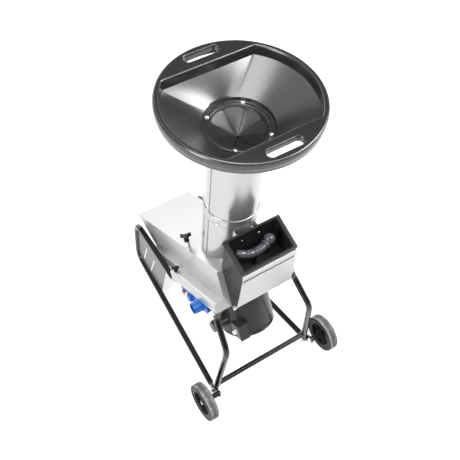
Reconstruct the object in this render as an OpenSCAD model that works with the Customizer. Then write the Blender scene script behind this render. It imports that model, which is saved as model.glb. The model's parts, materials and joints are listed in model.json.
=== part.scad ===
// Wheeled electric garden shredder with a top funnel and a front branch hopper.
// Millimetres, +Z up, front (wheels and hopper) towards -Y, origin on the ground under the middle.

/* [Funnel] */
// Height of the funnel rim above the ground
overall_h = 1311; // [1250:1:1380]
// Outer diameter of the funnel rim
rim_d = 540; // [520:1:580]
// Height of the outer skirt of the rim
rim_skirt_h = 43; // [30:1:60]
// How far the lower half of the skirt is set in
skirt_inset = 2.5; // [1:0.5:3.5]
// Radius of the bowl where it meets the rim
bowl_r = 250; // [235:1:255]
// Distance of the flat bowl ends from the chute axis
bowl_flat_y = 182; // [165:1:190]
// Depth of the straight bowl wall under the rim
bowl_wall_h = 40; // [25:1:50]
// Depth of the throat ring below the rim
throat_drop = 122; // [105:1:150]
// Wall of the moulded funnel
funnel_wall = 4; // [3:0.5:6]
// Length of each hand slot
slot_l = 130; // [110:1:150]
// Width of each hand slot
slot_w = 32; // [26:1:36]
// Distance of the hand slots from the chute axis
slot_y = 230; // [222:1:236]
// Outer radius of the throat flange
throat_flange_r = 124; // [116:1:130]
// Distance of the throat bolts from the chute wall
throat_bolt_edge = 7; // [6.5:0.5:8]
// Angle of the throat bolts from the X axis
throat_bolt_angle = 50; // [40:1:60]

/* [Splash guard] */
// Number of rubber flaps
flap_count = 8; // [6:1:10]
// Depth of the flap tips below the guard rim
flap_drop = 45; // [30:1:60]
// Thickness of the rubber
rubber_t = 3; // [2:0.5:4]
// Width of the cuts between the flaps
flap_cut = 1.6; // [1:0.1:3]

/* [Chute] */
// Outer radius of the chute tube
chute_r = 100; // [92:1:106]
// Sheet metal thickness
sheet_t = 2; // [1.5:0.5:3]
// Height of the joint between the chute lengths
chute_joint_z = 797; // [770:1:830]
// Height of the joint band
band_h = 45; // [30:1:60]

/* [Knife deck and cover] */
// Slope of the knife deck, falling to the rear
deck_slope = 30; // [26:1:34]
// Height at which the chute axis meets the deck
deck_z = 403; // [390:1:420]
// Depth of the knife deck
deck_h = 40; // [36:1:46]
// Half width of the front part of the deck
deck_half_w = 182; // [176:1:190]
// Half width of the rear part of the deck
deck_rear_half_w = 146; // [138:1:150]
// Length of the deck ahead of the chute axis
deck_front = 220; // [212:1:230]
// Where the deck steps narrower behind the chute axis
deck_step = 150; // [142:1:160]
// Length of the deck behind the chute axis
deck_rear = 387; // [370:1:400]
// Half width of the cover
cover_half_w = 128; // [122:1:134]
// Height of the cover above the deck
cover_h = 120; // [110:1:130]
// Reach of the cover's rear edge behind the chute axis
cover_rear = 505; // [480:1:520]

/* [Branch hopper] */
// Half width of the hopper tub
tub_half_w = 112; // [104:1:118]
// Front of the tub ahead of the chute axis
tub_front = 252; // [244:1:262]
// Rear wall of the tub ahead of the chute axis
tub_back = 126; // [120:1:134]
// Height of the front edge of the hopper rim
tub_front_z = 749; // [735:1:760]
// Height of the rear edge of the hopper rim
tub_back_z = 793; // [775:1:805]
// Wall of the hopper tub
tub_wall = 4; // [3:0.5:5]
// Overhang of the hopper rim
tub_lip = 8; // [5:1:10]
// Height of the bottom edge of the front panel
panel_z = 533; // [525:1:545]
// Height of the crease of the front panel
panel_crease_z = 706; // [695:1:715]
// How far the crease stands forward
panel_bulge = 9; // [5:1:12]
// Height of the pusher plate
pusher_z = 664; // [655:1:675]
// Height of the pusher grip
grip_z = 752; // [744:1:756]

/* [Motor] */
// Radius of the motor housing
motor_r = 108; // [102:1:110]
// Motor axis ahead of the chute axis along the deck
motor_front = 75; // [70:1:80]
// Length of the motor below the deck
motor_l = 214; // [205:1:230]
// Radius of the motor shaft
shaft_r = 12.5; // [10:0.5:14]
// Radius of the collar that carries the knife disc
shaft_collar_r = 30; // [28:0.5:32]
// Radius of the knife disc
disc_r = 132; // [120:1:135]

/* [Frame] */
// Diameter of the frame tube
tube_d = 25; // [22:0.5:28]
// Wall of the frame tube
tube_wall = 1.5; // [1.2:0.1:2.5]
// Bend radius of the frame tube at its middle line
bend_r = 52; // [40:1:60]
// Half width of the frame at the rear
rear_half_w = 157; // [154:1:162]
// Rear of the side loops behind the chute axis
loop_rear = 461; // [450:1:470]
// Height of the upper rear corner of the side loops
loop_top_z = 253; // [245:1:262]
// Height of the crossbar
crossbar_z = 98; // [92:1:110]

/* [Wheels] */
// Wheel diameter
wheel_d = 160; // [150:1:170]
// Wheel width
wheel_w = 40; // [34:1:44]
// Inner face of the wheels from the middle
wheel_inner_x = 278; // [272:1:286]
// Wheel axle ahead of the chute axis
axle_front = 341; // [335:1:350]
// Radius of the axle bolts
axle_r = 6; // [5:0.5:7]

/* [Hidden] */

$fn = 64;
hull_fn = 32;
gap = 0.3;
fit = 0.05;
over = 1;

tube_r = tube_d / 2;
wheel_r = wheel_d / 2;

// Stack of flanges at the throat, from the chute flange up
throat_z = overall_h - throat_drop;
flange_t = 4;
ring_z = throat_z - flange_t;
guard_z = ring_z - rubber_t;
funnel_base_z = guard_z - flange_t;
chute_top_z = funnel_base_z;
throat_r = chute_r - 4;
throat_bolt_pcd_r = chute_r + throat_bolt_edge;
throat_bolt_r = 3;
throat_nut_r = 5.5;

// Middle of the length, which becomes the origin
cover_rear_y = cover_rear * cos(deck_slope) + cover_h * sin(deck_slope);
front_y = -axle_front - wheel_r;
mid_y = (cover_rear_y + front_y) / 2;

// Frame points on the right-hand side, chute axis at the middle
pad_t = 5;
pad_r = 15;
joint_pos = [0, -308, 50];
leg_pad_x = 224.5;
loop_pad_x = leg_pad_x + pad_t;
bracket_x = loop_pad_x + pad_t / 2;
bracket_t = 5;
clamp_x = deck_half_w - 16;
clamp_u = 124;
leg_bolt_x = deck_half_w - 14;
leg_bolt_u = -196;
m10_r = 5;
hole_gap = 0.2;
stud_r = 4;

// Feet of the loops touch the ground under the rear corner
loop_corner_low = [rear_half_w, loop_rear - 1, tube_r - bend_sag(tube_r)];
loop_corner_top = [rear_half_w, loop_rear, loop_top_z];
loop_front = [loop_pad_x, joint_pos.y, joint_pos.z];
loop_start = [clamp_x + 7, 124, 277];
leg_start = [leg_bolt_x + 13, -216, 444];
leg_bend = [leg_bolt_x + 27, -317, 358];
leg_end = [leg_pad_x, joint_pos.y, joint_pos.z];
flat_l = 34;
bead = 0.5;
bead_l = 2;
slab_inset = 0.8;
deck_pad_l = 24;
loop_low_end = loop_front + unit(loop_corner_low - loop_front) * flat_l;
leg_low_end = leg_end + unit(leg_bend - leg_end) * flat_l;

axle_pos = [0, -axle_front, wheel_r];
hub_r = 57;
hub_face = 2;
hub_web_x = wheel_inner_x + 14;
hub_web_t = 10;
hub_boss_r = 15;
nut_t = 8;

// Motor stations along the deck normal, measured from the deck top
motor_top = -deck_h;
flange_h = 12;
bearing_r = 26;
bearing_w = 15;
upper_bearing_top = motor_top - 4;
housing_top = motor_top - flange_h;
cap_h = 30;
housing_bottom = motor_top - motor_l + cap_h;
shield_top = housing_bottom + 24;
shield_h = 16;
housing_wall = 6;
rotor_r = 61;
air_gap = 1;
core_top = housing_top - 34;
core_h = 80;
fan_r = 86;
fan_top = housing_bottom + 2;
fan_h = 20;
deck_plate_t = 3;
disc_t = 8;
disc_bottom = -deck_h + deck_plate_t + 11;
disc_top = disc_bottom + disc_t;
knife_t = 6;
knife_count = 3;
knife_w = 42;
knife_l = 78;
knife_mid_r = 80;
spindle_top = disc_top + 18;

function unit(v) = v / norm(v);

// Drop of a bent corner's lowest point against its straight corner, for the sloping lower tube
function bend_sag(r) = bend_r * (1 - cos(atan2(joint_pos.z - r, loop_rear - joint_pos.y))) +
    bend_r * tan((90 - atan2(joint_pos.z - r, loop_rear - joint_pos.y)) / 2) *
    sin(atan2(joint_pos.z - r, loop_rear - joint_pos.y)) -
    2 * bend_r * (1 - cos(atan2(joint_pos.z - r, loop_rear - joint_pos.y)));

// Placing helpers

module placed() { translate([0, -mid_y, 0]) children(); }

// Deck frame: X across, Y down the slope to the rear, Z normal to the deck
module on_deck(u = 0, n = 0) {
    placed() translate([0, 0, deck_z]) rotate([-deck_slope, 0, 0]) translate([0, u, n]) children();
}

module on_motor(n = 0) { on_deck(-motor_front, n) children(); }

module both_sides() {
    children();
    mirror([1, 0, 0]) children();
}

module along(p, q) {
    d = q - p;
    translate(p) rotate([0, acos(d.z / norm(d)), atan2(d.y, d.x)]) children();
}

// Round shapes

module ring(r_out, r_in, h) {
    difference() {
        cylinder(r = r_out, h = h);
        translate([0, 0, -over]) cylinder(r = r_in, h = h + 2 * over);
    }
}

module rod(p, q, r) { along(p, q) cylinder(r = r, h = norm(q - p)); }

module pipe(p, q, r, wall) {
    along(p, q) difference() {
        cylinder(r = r, h = norm(q - p));
        if (wall < r) translate([0, 0, -over]) cylinder(r = r - wall, h = norm(q - p) + 2 * over);
    }
}

module hex(r, h) { cylinder(r = r, h = h, $fn = 6); }

module long_hole(l, w) {
    square([l - w, w], center = true);
    for (s = [-1, 1]) translate([s * (l - w) / 2, 0]) circle(d = w);
}

module round_rect(w, h, r) {
    square([w - 2 * r, h], center = true);
    square([w, h - 2 * r], center = true);
    for (x = [-1, 1], y = [-1, 1]) translate([x * (w / 2 - r), y * (h / 2 - r)]) circle(r = r);
}

// Arc of tube at corner b between the runs from a and to c
module tube_bend(a, b, c, r, wall) {
    da = unit(a - b);
    dc = unit(c - b);
    angle = acos(da * dc);
    run = bend_r / tan(angle / 2);
    mid = b + unit(da + dc) * bend_r / sin(angle / 2);
    x = unit(b + da * run - mid);
    z = unit(cross(x, b + dc * run - mid));
    y = cross(z, x);
    multmatrix([[x.x, y.x, z.x, mid.x], [x.y, y.y, z.y, mid.y], [x.z, y.z, z.z, mid.z], [0, 0, 0, 1]])
        rotate_extrude(angle = 180 - angle) translate([bend_r, 0]) difference() {
            circle(r = r);
            if (wall < r) circle(r = r - wall);
        }
}

function bend_run(a, b, c) = bend_r / tan(acos(unit(a - b) * unit(c - b)) / 2);

// Bent tube through a list of corners
module bent_tube(p, r, wall) {
    last = len(p) - 1;
    for (i = [0 : last - 1]) {
        d = unit(p[i + 1] - p[i]);
        s = i == 0 ? p[i] : p[i] + d * bend_run(p[i - 1], p[i], p[i + 1]);
        e = i == last - 1 ? p[i + 1] : p[i + 1] - d * bend_run(p[i], p[i + 1], p[i + 2]);
        pipe(s, e, r, wall);
    }
    for (i = [1 : 1 : last - 1]) {
        run = bend_run(p[i - 1], p[i], p[i + 1]);
        tube_bend(p[i - 1], p[i], p[i + 1], r, wall);
        for (q = [p[i - 1], p[i + 1]]) {
            d = unit(q - p[i]);
            pipe(p[i] + d * (run - bead_l), p[i] + d * (run + bead_l), r + bead, min(wall, r) + 2 * bead);
        }
    }
}

// Squashed transition from the end of a tube to a thin pad
module squash(tube_end, tube_next) {
    hull() {
        along(tube_end, tube_next) translate([0, 0, -over])
            cylinder(r = tube_r - tube_wall / 2, h = 3 * over, $fn = hull_fn);
        children();
    }
}

// Funnel

module bowl_outline(grow = 0) {
    intersection() {
        circle(r = bowl_r + grow);
        square([2 * rim_d, 2 * (bowl_flat_y + grow)], center = true);
    }
}

module bowl_cone(grow, throat, drop = 0) {
    hull() {
        translate([0, 0, overall_h - bowl_wall_h - drop]) linear_extrude(0.1) bowl_outline(grow);
        translate([0, 0, funnel_base_z + flange_t - drop]) cylinder(r = throat, h = 0.1);
    }
}

module rim_section() {
    lip_r = 8;
    skirt_t = funnel_wall;
    upper_h = rim_skirt_h / 2;
    translate([rim_d / 2 - skirt_t - skirt_inset, -rim_skirt_h]) square([skirt_t, rim_skirt_h - lip_r]);
    translate([rim_d / 2 - skirt_t, -upper_h]) square([skirt_t, upper_h - lip_r]);
    intersection() {
        translate([rim_d / 2 - lip_r, -lip_r]) circle(r = lip_r);
        translate([rim_d / 2 - lip_r, -lip_r]) square(lip_r);
    }
    translate([bowl_r - over, -skirt_t]) square([rim_d / 2 - lip_r - bowl_r + over, skirt_t]);
    translate([rim_d / 2 - lip_r - skirt_inset, -lip_r]) square([lip_r - skirt_t + skirt_inset, lip_r]);
}

module funnel() {
    cone_throat = throat_flange_r - funnel_wall;
    color("dimgray") placed() {
        difference() {
            union() {
                translate([0, 0, overall_h]) rotate_extrude($fn = 96) rim_section();
                translate([0, 0, overall_h - funnel_wall]) linear_extrude(funnel_wall) difference() {
                    circle(r = bowl_r);
                    bowl_outline();
                }
                translate([0, 0, overall_h - bowl_wall_h - funnel_wall])
                    linear_extrude(bowl_wall_h + funnel_wall)
                    difference() {
                        bowl_outline(funnel_wall);
                        bowl_outline();
                    }
                for (s = [-1, 1]) translate([0, s * slot_y, overall_h - rim_skirt_h / 2])
                    linear_extrude(rim_skirt_h / 2)
                        long_hole(slot_l + 2 * funnel_wall, slot_w + 2 * funnel_wall);
            }
            for (s = [-1, 1]) translate([0, s * slot_y, overall_h - rim_skirt_h])
                linear_extrude(2 * rim_skirt_h) long_hole(slot_l, slot_w);
        }
        difference() {
            bowl_cone(funnel_wall, throat_flange_r);
            bowl_cone(0, cone_throat, funnel_wall / 4);
            translate([0, 0, overall_h - bowl_wall_h - funnel_wall / 4]) linear_extrude(2 * funnel_wall)
                bowl_outline();
            translate([0, 0, funnel_base_z - over])
                cylinder(r = cone_throat - funnel_wall, h = 2 * flange_t);
        }
        difference() {
            translate([0, 0, funnel_base_z]) ring(throat_flange_r, chute_r, flange_t);
            throat_holes();
        }
    }
}

module at_throat_bolts() {
    for (a = [throat_bolt_angle, 180 - throat_bolt_angle, 180 + throat_bolt_angle, 360 - throat_bolt_angle])
        rotate(a) translate([throat_bolt_pcd_r, 0, 0]) children();
}

module throat_holes() {
    at_throat_bolts() translate([0, 0, chute_top_z - 5 * flange_t])
        cylinder(r = throat_bolt_r + hole_gap, h = 9 * flange_t);
}

module throat_ring() {
    color("black") placed() difference() {
        translate([0, 0, ring_z]) ring(throat_flange_r - funnel_wall - 2, throat_r, flange_t);
        throat_holes();
    }
}

module splash_guard() {
    tip_r = 4;
    slope_r = throat_r - 2;
    color("black") placed() difference() {
        translate([0, 0, guard_z]) rotate_extrude() polygon([
            [throat_flange_r - funnel_wall - 2, 0], [throat_flange_r - funnel_wall - 2, rubber_t],
                [slope_r, rubber_t],
            [tip_r, rubber_t - flap_drop], [tip_r, -flap_drop], [slope_r - rubber_t, 0]
        ]);
        throat_holes();
        for (i = [0 : flap_count - 1]) rotate(i * 360 / flap_count)
            translate([0, -flap_cut / 2, guard_z - 2 * flap_drop])
                cube([slope_r - 2 * rubber_t, flap_cut, 3 * flap_drop]);
    }
}

module throat_bolts() {
    washer_t = 2;
    head_h = 5;
    color("silver") placed() at_throat_bolts() {
        translate([0, 0, throat_z]) cylinder(r = 3 * throat_bolt_r, h = washer_t);
        translate([0, 0, throat_z + washer_t]) intersection() {
            cylinder(r = 2.2 * throat_bolt_r, h = head_h);
            translate([0, 0, -4]) sphere(r = 9);
        }
        translate([0, 0, chute_top_z - flange_t - 10])
            cylinder(r = throat_bolt_r, h = throat_z - chute_top_z + flange_t + 11);
        translate([0, 0, chute_top_z - sheet_t - 7]) hex(throat_nut_r, 7);
    }
}

// Chute

bolt_high_z = 848;
bolt_low_z = 606;
seam_w = 14;
m6_r = 3;

module at_chute_bolts() {
    for (a = [0, 180]) rotate(a) {
        translate([chute_r, 0, bolt_high_z]) rotate([0, 90, 0]) children();
        translate([chute_r, 0, bolt_low_z]) rotate([0, 90, 0]) children();
    }
    for (a = [-29, -151, 90]) rotate(a) translate([chute_r + sheet_t, 0, chute_joint_z - band_h / 4])
        rotate([0, 90, 0]) children();
}

module chute_holes() {
    at_chute_bolts() translate([0, 0, -6 * sheet_t]) cylinder(r = m6_r + hole_gap, h = 12 * sheet_t);
}

// Lap seam of the rolled sheet, on both flanks
module seam(z_low, z_high) {
    for (a = [0, 180]) rotate(a) intersection() {
        translate([0, 0, z_low]) ring(chute_r + sheet_t, chute_r - sheet_t / 2, z_high - z_low);
        translate([0, -seam_w / 2, z_low - over]) cube([2 * chute_r, seam_w, z_high - z_low + 2 * over]);
    }
}

module upper_chute() {
    top_flange_r = throat_flange_r - funnel_wall - 2;
    z0 = chute_joint_z + gap;
    color("gainsboro") placed() difference() {
        union() {
            translate([0, 0, z0]) ring(chute_r, chute_r - sheet_t, chute_top_z - z0);
            translate([0, 0, chute_top_z - sheet_t]) ring(top_flange_r, chute_r - sheet_t, sheet_t);
            seam(chute_joint_z + band_h / 2 + gap, chute_top_z - 60);
        }
        throat_holes();
        chute_holes();
    }
}

module chute_stub() {
    stub_lift = 6;
    cutter = 6 * chute_r;
    seam_low = deck_z + cover_h / cos(deck_slope) + seam_w / 2 * tan(deck_slope) + over;
    color("gainsboro") difference() {
        placed() difference() {
            union() {
                translate([0, 0, deck_z - chute_r])
                    ring(chute_r, chute_r - sheet_t, chute_joint_z - deck_z + chute_r);
                seam(seam_low, chute_joint_z - band_h / 2 - gap);
            }
            chute_holes();
        }
        // Lower end cut parallel to the knife disc
        on_deck(0, stub_lift - cutter) translate([-cutter / 2, -cutter / 2, 0]) cube(cutter);
    }
}

module joint_band() {
    color("silver") placed() difference() {
        translate([0, 0, chute_joint_z - band_h / 2]) ring(chute_r + sheet_t, chute_r, band_h);
        chute_holes();
    }
}

module chute_bolts() {
    color("silver") placed() at_chute_bolts() {
        translate([0, 0, sheet_t]) intersection() {
            cylinder(r = 2 * m6_r, h = 5);
            translate([0, 0, -3]) sphere(r = 7.6);
        }
        translate([0, 0, -3 * sheet_t]) cylinder(r = m6_r, h = 5 * sheet_t);
    }
}

// Knife cover

flange_w = 12;
front_flange_w = 10;
window_half_w = 96;
window_low = 14;
window_high = 106;

module cover_cheek() {
    polygon([[-deck_front, 0], [-deck_front, cover_h], [cover_rear, cover_h], [deck_rear, 0]]);
}

module knife_cover() {
    color("gainsboro") difference() {
        union() {
            on_deck() {
                both_sides() {
                    translate([cover_half_w - sheet_t, 0, 0]) rotate([90, 0, 90]) linear_extrude(sheet_t)
                        cover_cheek();
                    translate([cover_half_w - sheet_t, -deck_front, 0])
                        cube([flange_w, deck_front + deck_rear, sheet_t]);
                    translate([cover_half_w - sheet_t, -deck_front, 0])
                        cube([front_flange_w, sheet_t, cover_h]);
                }
                translate([-cover_half_w, -deck_front, cover_h - sheet_t])
                    cube([2 * cover_half_w, deck_front + cover_rear, sheet_t]);
                translate([-cover_half_w, -deck_front, 0]) cube([2 * cover_half_w, sheet_t, cover_h]);
                translate([-cover_half_w, cover_rear - sheet_t, cover_h - 12])
                    cube([2 * cover_half_w, sheet_t, 12]);
            }
        }
        placed() translate([0, 0, deck_z]) cylinder(r = chute_r, h = 400);
        on_deck() translate([-window_half_w, -deck_front - over, window_low])
            cube([2 * window_half_w, sheet_t + 2 * over, window_high - window_low]);
        on_deck(knob_u) translate([knob_x, 0, cover_h - 2 * sheet_t])
            cylinder(r = stud_r + gap, h = 4 * sheet_t);
    }
}

knob_x = -112;
knob_u = 50;
knob_spacer_h = 22;

module knob_spacer() {
    color("silver") on_deck(knob_u, cover_h) translate([knob_x, 0, 0]) difference() {
        union() {
            cylinder(r = 12, h = 3);
            cylinder(r = 8.5, h = knob_spacer_h);
        }
        translate([0, 0, -over]) cylinder(r = stud_r + gap, h = knob_spacer_h + 2 * over);
    }
}

module cover_knob() {
    hub_h = 17;
    lobe_h = 12;
    lobe_r = 6.5;
    lobe_out = 18;
    lobes = 3;
    stud_l = knob_spacer_h + 30;
    color("black") on_deck(knob_u, cover_h + knob_spacer_h + gap) translate([knob_x, 0, 0]) {
        translate([0, 0, -stud_l]) cylinder(r = stud_r, h = stud_l + 1);
        cylinder(r = 10.5, h = hub_h + lobe_h);
        translate([0, 0, hub_h]) for (i = [0 : lobes - 1]) rotate(i * 360 / lobes) {
            translate([lobe_out, 0, 0]) cylinder(r = lobe_r, h = lobe_h);
            translate([0, -lobe_r + 1, 0]) cube([lobe_out, 2 * lobe_r - 2, lobe_h - 1]);
        }
    }
}

// Knife deck

edge_r = 10;

module deck_outline(inset = 0) {
    polygon([
        [-deck_half_w + inset, -deck_front + inset], [deck_half_w - inset, -deck_front + inset],
        [deck_half_w - inset, deck_step - inset], [deck_rear_half_w - inset, deck_step - inset],
        [deck_rear_half_w - inset, deck_rear - inset], [-deck_rear_half_w + inset, deck_rear - inset],
        [-deck_rear_half_w + inset, deck_step - inset], [-deck_half_w + inset, deck_step - inset]
    ]);
}

module deck_edge_cut() {
    both_sides() translate([deck_half_w - edge_r, -deck_front - over, -edge_r]) difference() {
        cube([2 * edge_r, deck_front + deck_step + 2 * over, 2 * edge_r]);
        rotate([-90, 0, 0]) cylinder(r = edge_r, h = deck_front + deck_step + 2 * over);
    }
}

module knife_deck() {
    chamber_r = disc_r + 8;
    chips_half_w = cover_half_w - 8;
    color("gainsboro") on_deck() difference() {
        translate([0, 0, -deck_h]) linear_extrude(deck_h) deck_outline();
        deck_edge_cut();
        translate([0, 0, -deck_h + deck_plate_t]) linear_extrude(deck_h - deck_plate_t - sheet_t)
            deck_outline(sheet_t + edge_r / 2);
        translate([0, -motor_front, -sheet_t - over]) cylinder(r = chamber_r, h = 4 * over + sheet_t);
        translate([-chips_half_w, -motor_front, -sheet_t - over])
            cube([2 * chips_half_w, motor_front + deck_rear - 20, 4 * over + sheet_t]);
        translate([-chips_half_w, deck_rear - 130, -deck_h - over]) cube([2 * chips_half_w, 110, deck_h]);
        translate([0, -motor_front, -deck_h - over]) cylinder(r = shaft_collar_r + 4, h = deck_h);
        both_sides() {
            translate([clamp_x, clamp_u, -deck_h - over]) cylinder(r = stud_r + gap, h = deck_h + 2 * over);
            translate([leg_bolt_x, leg_bolt_u, -deck_h - over])
                cylinder(r = stud_r + hole_gap, h = deck_plate_t + 2 * over);
        }
        for (a = [45 : 90 : 315]) translate([0, -motor_front, -deck_h - over]) rotate(a)
            translate([motor_r - 8, 0, 0])
            cylinder(r = stud_r + hole_gap, h = deck_plate_t + 2 * over);
    }
}

// Branch hopper

cover_top_front = [-deck_front * cos(deck_slope) + cover_h * sin(deck_slope), deck_z
    + deck_front * sin(deck_slope) + cover_h * cos(deck_slope)];
deck_top_front = [-deck_front * cos(deck_slope), deck_z + deck_front * sin(deck_slope)];
tub_foot_n = -20;
cheek_foot_n = -deck_h - 4;
slope_off = gap * [-cos(deck_slope), sin(deck_slope)];
tub_floor_front_z = panel_z;

function rim_z(y) = tub_front_z + (tub_back_z - tub_front_z) * (y + tub_front) / (tub_front - tub_back);

module tub_side(inset = 0, foot_n = tub_foot_n) {
    tub_foot = deck_top_front + foot_n * [sin(deck_slope), cos(deck_slope)];
    polygon([
        [-tub_back - inset, rim_z(-tub_back - inset)],
            [-tub_back - inset, cover_top_front.y + gap + inset * 2],
        cover_top_front + slope_off * (1 + inset / gap) + [0, gap + inset],
        tub_foot + slope_off * (1 + inset / gap) + [0, inset],
            [-tub_front + inset, tub_floor_front_z + inset],
        [-tub_front + inset, rim_z(-tub_front + inset)]
    ]);
}

// Swings a profile drawn in Y and Z so that it is as wide as the tub
module across(half_w) { translate([-half_w, 0, 0]) rotate([90, 0, 90]) linear_extrude(2 * half_w)
    children(); }

rim_tilt = atan2(tub_back_z - tub_front_z, tub_front - tub_back);
rim_l = (tub_front - tub_back) / cos(rim_tilt);
rim_h = 12;
rim_inset = 2;
ledge_w = 10;
ledge_h = 8;
ledge_z = pusher_z - gap - ledge_h;

module on_tub_rim() {
    translate([0, -(tub_front + tub_back) / 2, (tub_front_z + tub_back_z) / 2]) rotate([rim_tilt, 0, 0])
        children();
}

module branch_hopper() {
    rim_w = 2 * (tub_half_w + tub_lip);
    cheek_t = tub_wall - 1;
    color("black") placed() difference() {
        union() {
            difference() {
                union() {
                    across(tub_half_w - 1) tub_side();
                    both_sides() translate([tub_half_w - cheek_t, 0, 0]) rotate([90, 0, 90])
                        linear_extrude(cheek_t)
                        tub_side(0, cheek_foot_n);
                }
                across(tub_half_w - tub_wall) tub_side(tub_wall);
                on_tub_rim() translate([-2 * tub_half_w, -rim_l, -rim_h / 2])
                    cube([4 * tub_half_w, 2 * rim_l, 3 * rim_h]);
            }
            difference() {
                on_tub_rim() translate([0, -tub_lip / 4, -rim_h]) linear_extrude(rim_h)
                    round_rect(rim_w, rim_l + tub_lip / 2, 6);
                translate([0, pusher_y, tub_front_z - 4 * rim_h])
                    linear_extrude(tub_back_z - tub_front_z + 8 * rim_h)
                    round_rect(2 * (tub_half_w - tub_wall - rim_inset), tub_front - tub_back
                        - 2 * (tub_wall + rim_inset), 12);
            }
            translate([0, -(tub_front + tub_back) / 2, ledge_z]) linear_extrude(ledge_h) difference() {
                square([2 * (tub_half_w - 1), tub_front - tub_back - 2], center = true);
                square([2 * (tub_half_w - tub_wall - ledge_w), tub_front - tub_back
                    - 2 * (tub_wall + ledge_w)], center = true);
            }
        }
        // Mouth into the cover
        translate([0, 0, deck_z]) rotate([-deck_slope, 0, 0])
            translate([-window_half_w, -deck_front - 2 * tub_wall - gap, window_low])
            cube([2 * window_half_w, 4 * tub_wall, window_high - window_low]);
        at_hopper_bolts() translate([0, 0, -3 * tub_wall]) cylinder(r = m6_r + hole_gap, h = 8 * tub_wall);
    }
}

clip_t = 3;
clip_w = 14;
clip_l = 24;
clip_drop = 28;

// Small plated angles that hold the hopper's cheeks to the deck
module hopper_clips() {
    color("silver") both_sides() on_deck(-deck_front, -deck_h - 0.2)
        translate([tub_half_w - tub_wall - gap - clip_w, 0, 0]) {
        translate([0, 4, -clip_t]) cube([clip_w, clip_l, clip_t]);
        translate([0, 4, -clip_drop]) cube([clip_w, clip_t, clip_drop - 0.5]);
        translate([clip_w / 2, 4 + clip_t / 2, -clip_drop + 9]) rotate([90, 0, 0]) hex(6, 7);
    }
}

hopper_bolt_x = 36;
hopper_bolt_z = 744;

module at_hopper_bolts() {
    for (s = [-1, 1]) translate([s * hopper_bolt_x, -tub_back - tub_wall, hopper_bolt_z])
        rotate([90, 0, 0]) children();
}

bracket_y = -tub_back + gap;
bracket_sheet = 3;

module hopper_bracket() {
    gusset_t = 3;
    color("gainsboro") placed() difference() {
        union() {
            translate([-48, bracket_y, hopper_bolt_z - 16]) cube([96, bracket_sheet, 32]);
            for (s = [-1, 1]) translate([s * 46 - gusset_t / 2, bracket_y, hopper_bolt_z - 16])
                cube([gusset_t, tub_back, 32]);
        }
        translate([0, 0, hopper_bolt_z - 20]) cylinder(r = chute_r + 0.1, h = 40);
        at_hopper_bolts() translate([0, 0, -6 * tub_wall]) cylinder(r = m6_r + hole_gap, h = 8 * tub_wall);
    }
}

module hopper_bolts() {
    color("silver") placed() at_hopper_bolts() {
        intersection() {
            cylinder(r = 2 * m6_r, h = 5);
            translate([0, 0, -4]) sphere(r = 8);
        }
        translate([0, 0, -tub_wall - bracket_sheet - 6])
            cylinder(r = m6_r, h = tub_wall + bracket_sheet + 7);
        translate([0, 0, -tub_wall - bracket_sheet - gap - 5]) hex(5.5, 5);
    }
}

module front_panel() {
    top_z = tub_front_z - rim_h - 1;
    crease_half_w = tub_half_w;
    foot_half_w = tub_half_w + 10;
    y0 = -tub_front - gap;
    color("gainsboro") placed() intersection() {
        across(foot_half_w) polygon([
            [y0, top_z], [y0 - 5, top_z], [y0 - panel_bulge - sheet_t, panel_crease_z],
                [y0 - sheet_t, panel_z],
            [y0, panel_z]
        ]);
        translate([0, y0 + over, 0]) rotate([90, 0, 0]) linear_extrude(4 * panel_bulge) polygon([
            [-foot_half_w, panel_z], [foot_half_w, panel_z], [crease_half_w, panel_crease_z],
                [crease_half_w + 4, top_z],
            [-crease_half_w - 4, top_z], [-crease_half_w, panel_crease_z]
        ]);
    }
}

// Pusher that lies in the hopper

pusher_y = -(tub_front + tub_back) / 2;
plate_t = 10;
plate_gap = 6;
grip_r = 16;
ball_r = 21;
grip_left = -80;
ball_x = 50;
grip_y = pusher_y + 14;
grip_bow = 20;
grip_tilt = 35;
grip_mid = [(grip_left + ball_x) / 2, grip_y - grip_bow * cos(grip_tilt), grip_z
    - grip_bow * sin(grip_tilt)];

module pusher_plate() {
    w = 2 * (tub_half_w - tub_wall - plate_gap);
    l = tub_front - tub_back - 2 * (tub_wall + plate_gap);
    color("black") placed() {
        translate([0, pusher_y, pusher_z]) linear_extrude(plate_t) round_rect(w, l, 10);
        translate([grip_mid.x, grip_mid.y, pusher_z + plate_t])
            cylinder(r = 9, h = grip_mid.z - pusher_z - plate_t - grip_r - gap);
        translate([ball_x, grip_y, pusher_z + plate_t])
            cylinder(r = 9, h = grip_z - pusher_z - plate_t - ball_r - gap);
    }
}

// Ball across X with small flats at its ends
module ball(r) {
    rotate([0, 90, 0]) intersection() {
        sphere(r = r);
        cube([3 * r, 3 * r, 2 * r - 2], center = true);
    }
}

// Curved hand grip: a core with raised sleeves that leave two grooves, a round end and a ball
module pusher_grip() {
    span = ball_x - grip_left;
    arc_r = (span * span / 4 + grip_bow * grip_bow) / (2 * grip_bow);
    half_angle = asin(span / 2 / arc_r);
    sleeves = [[0.02, 0.17], [0.2, 0.41], [0.44, 0.8]];
    color("dimgray") placed() {
        translate([grip_mid.x, grip_y, grip_z]) rotate([grip_tilt, 0, 0]) translate([0, arc_r - grip_bow, 0])
            rotate(-90 - half_angle) {
                rotate_extrude(angle = 2 * half_angle) translate([arc_r, 0]) circle(r = grip_r - 2);
                for (q = sleeves) rotate(2 * half_angle * q[0])
                    rotate_extrude(angle = 2 * half_angle * (q[1] - q[0])) translate([arc_r, 0])
                        circle(r = grip_r);
            }
        translate([grip_left, grip_y, grip_z]) ball(grip_r - 1);
        translate([ball_x, grip_y, grip_z]) ball(ball_r);
    }
}

// Motor

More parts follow.
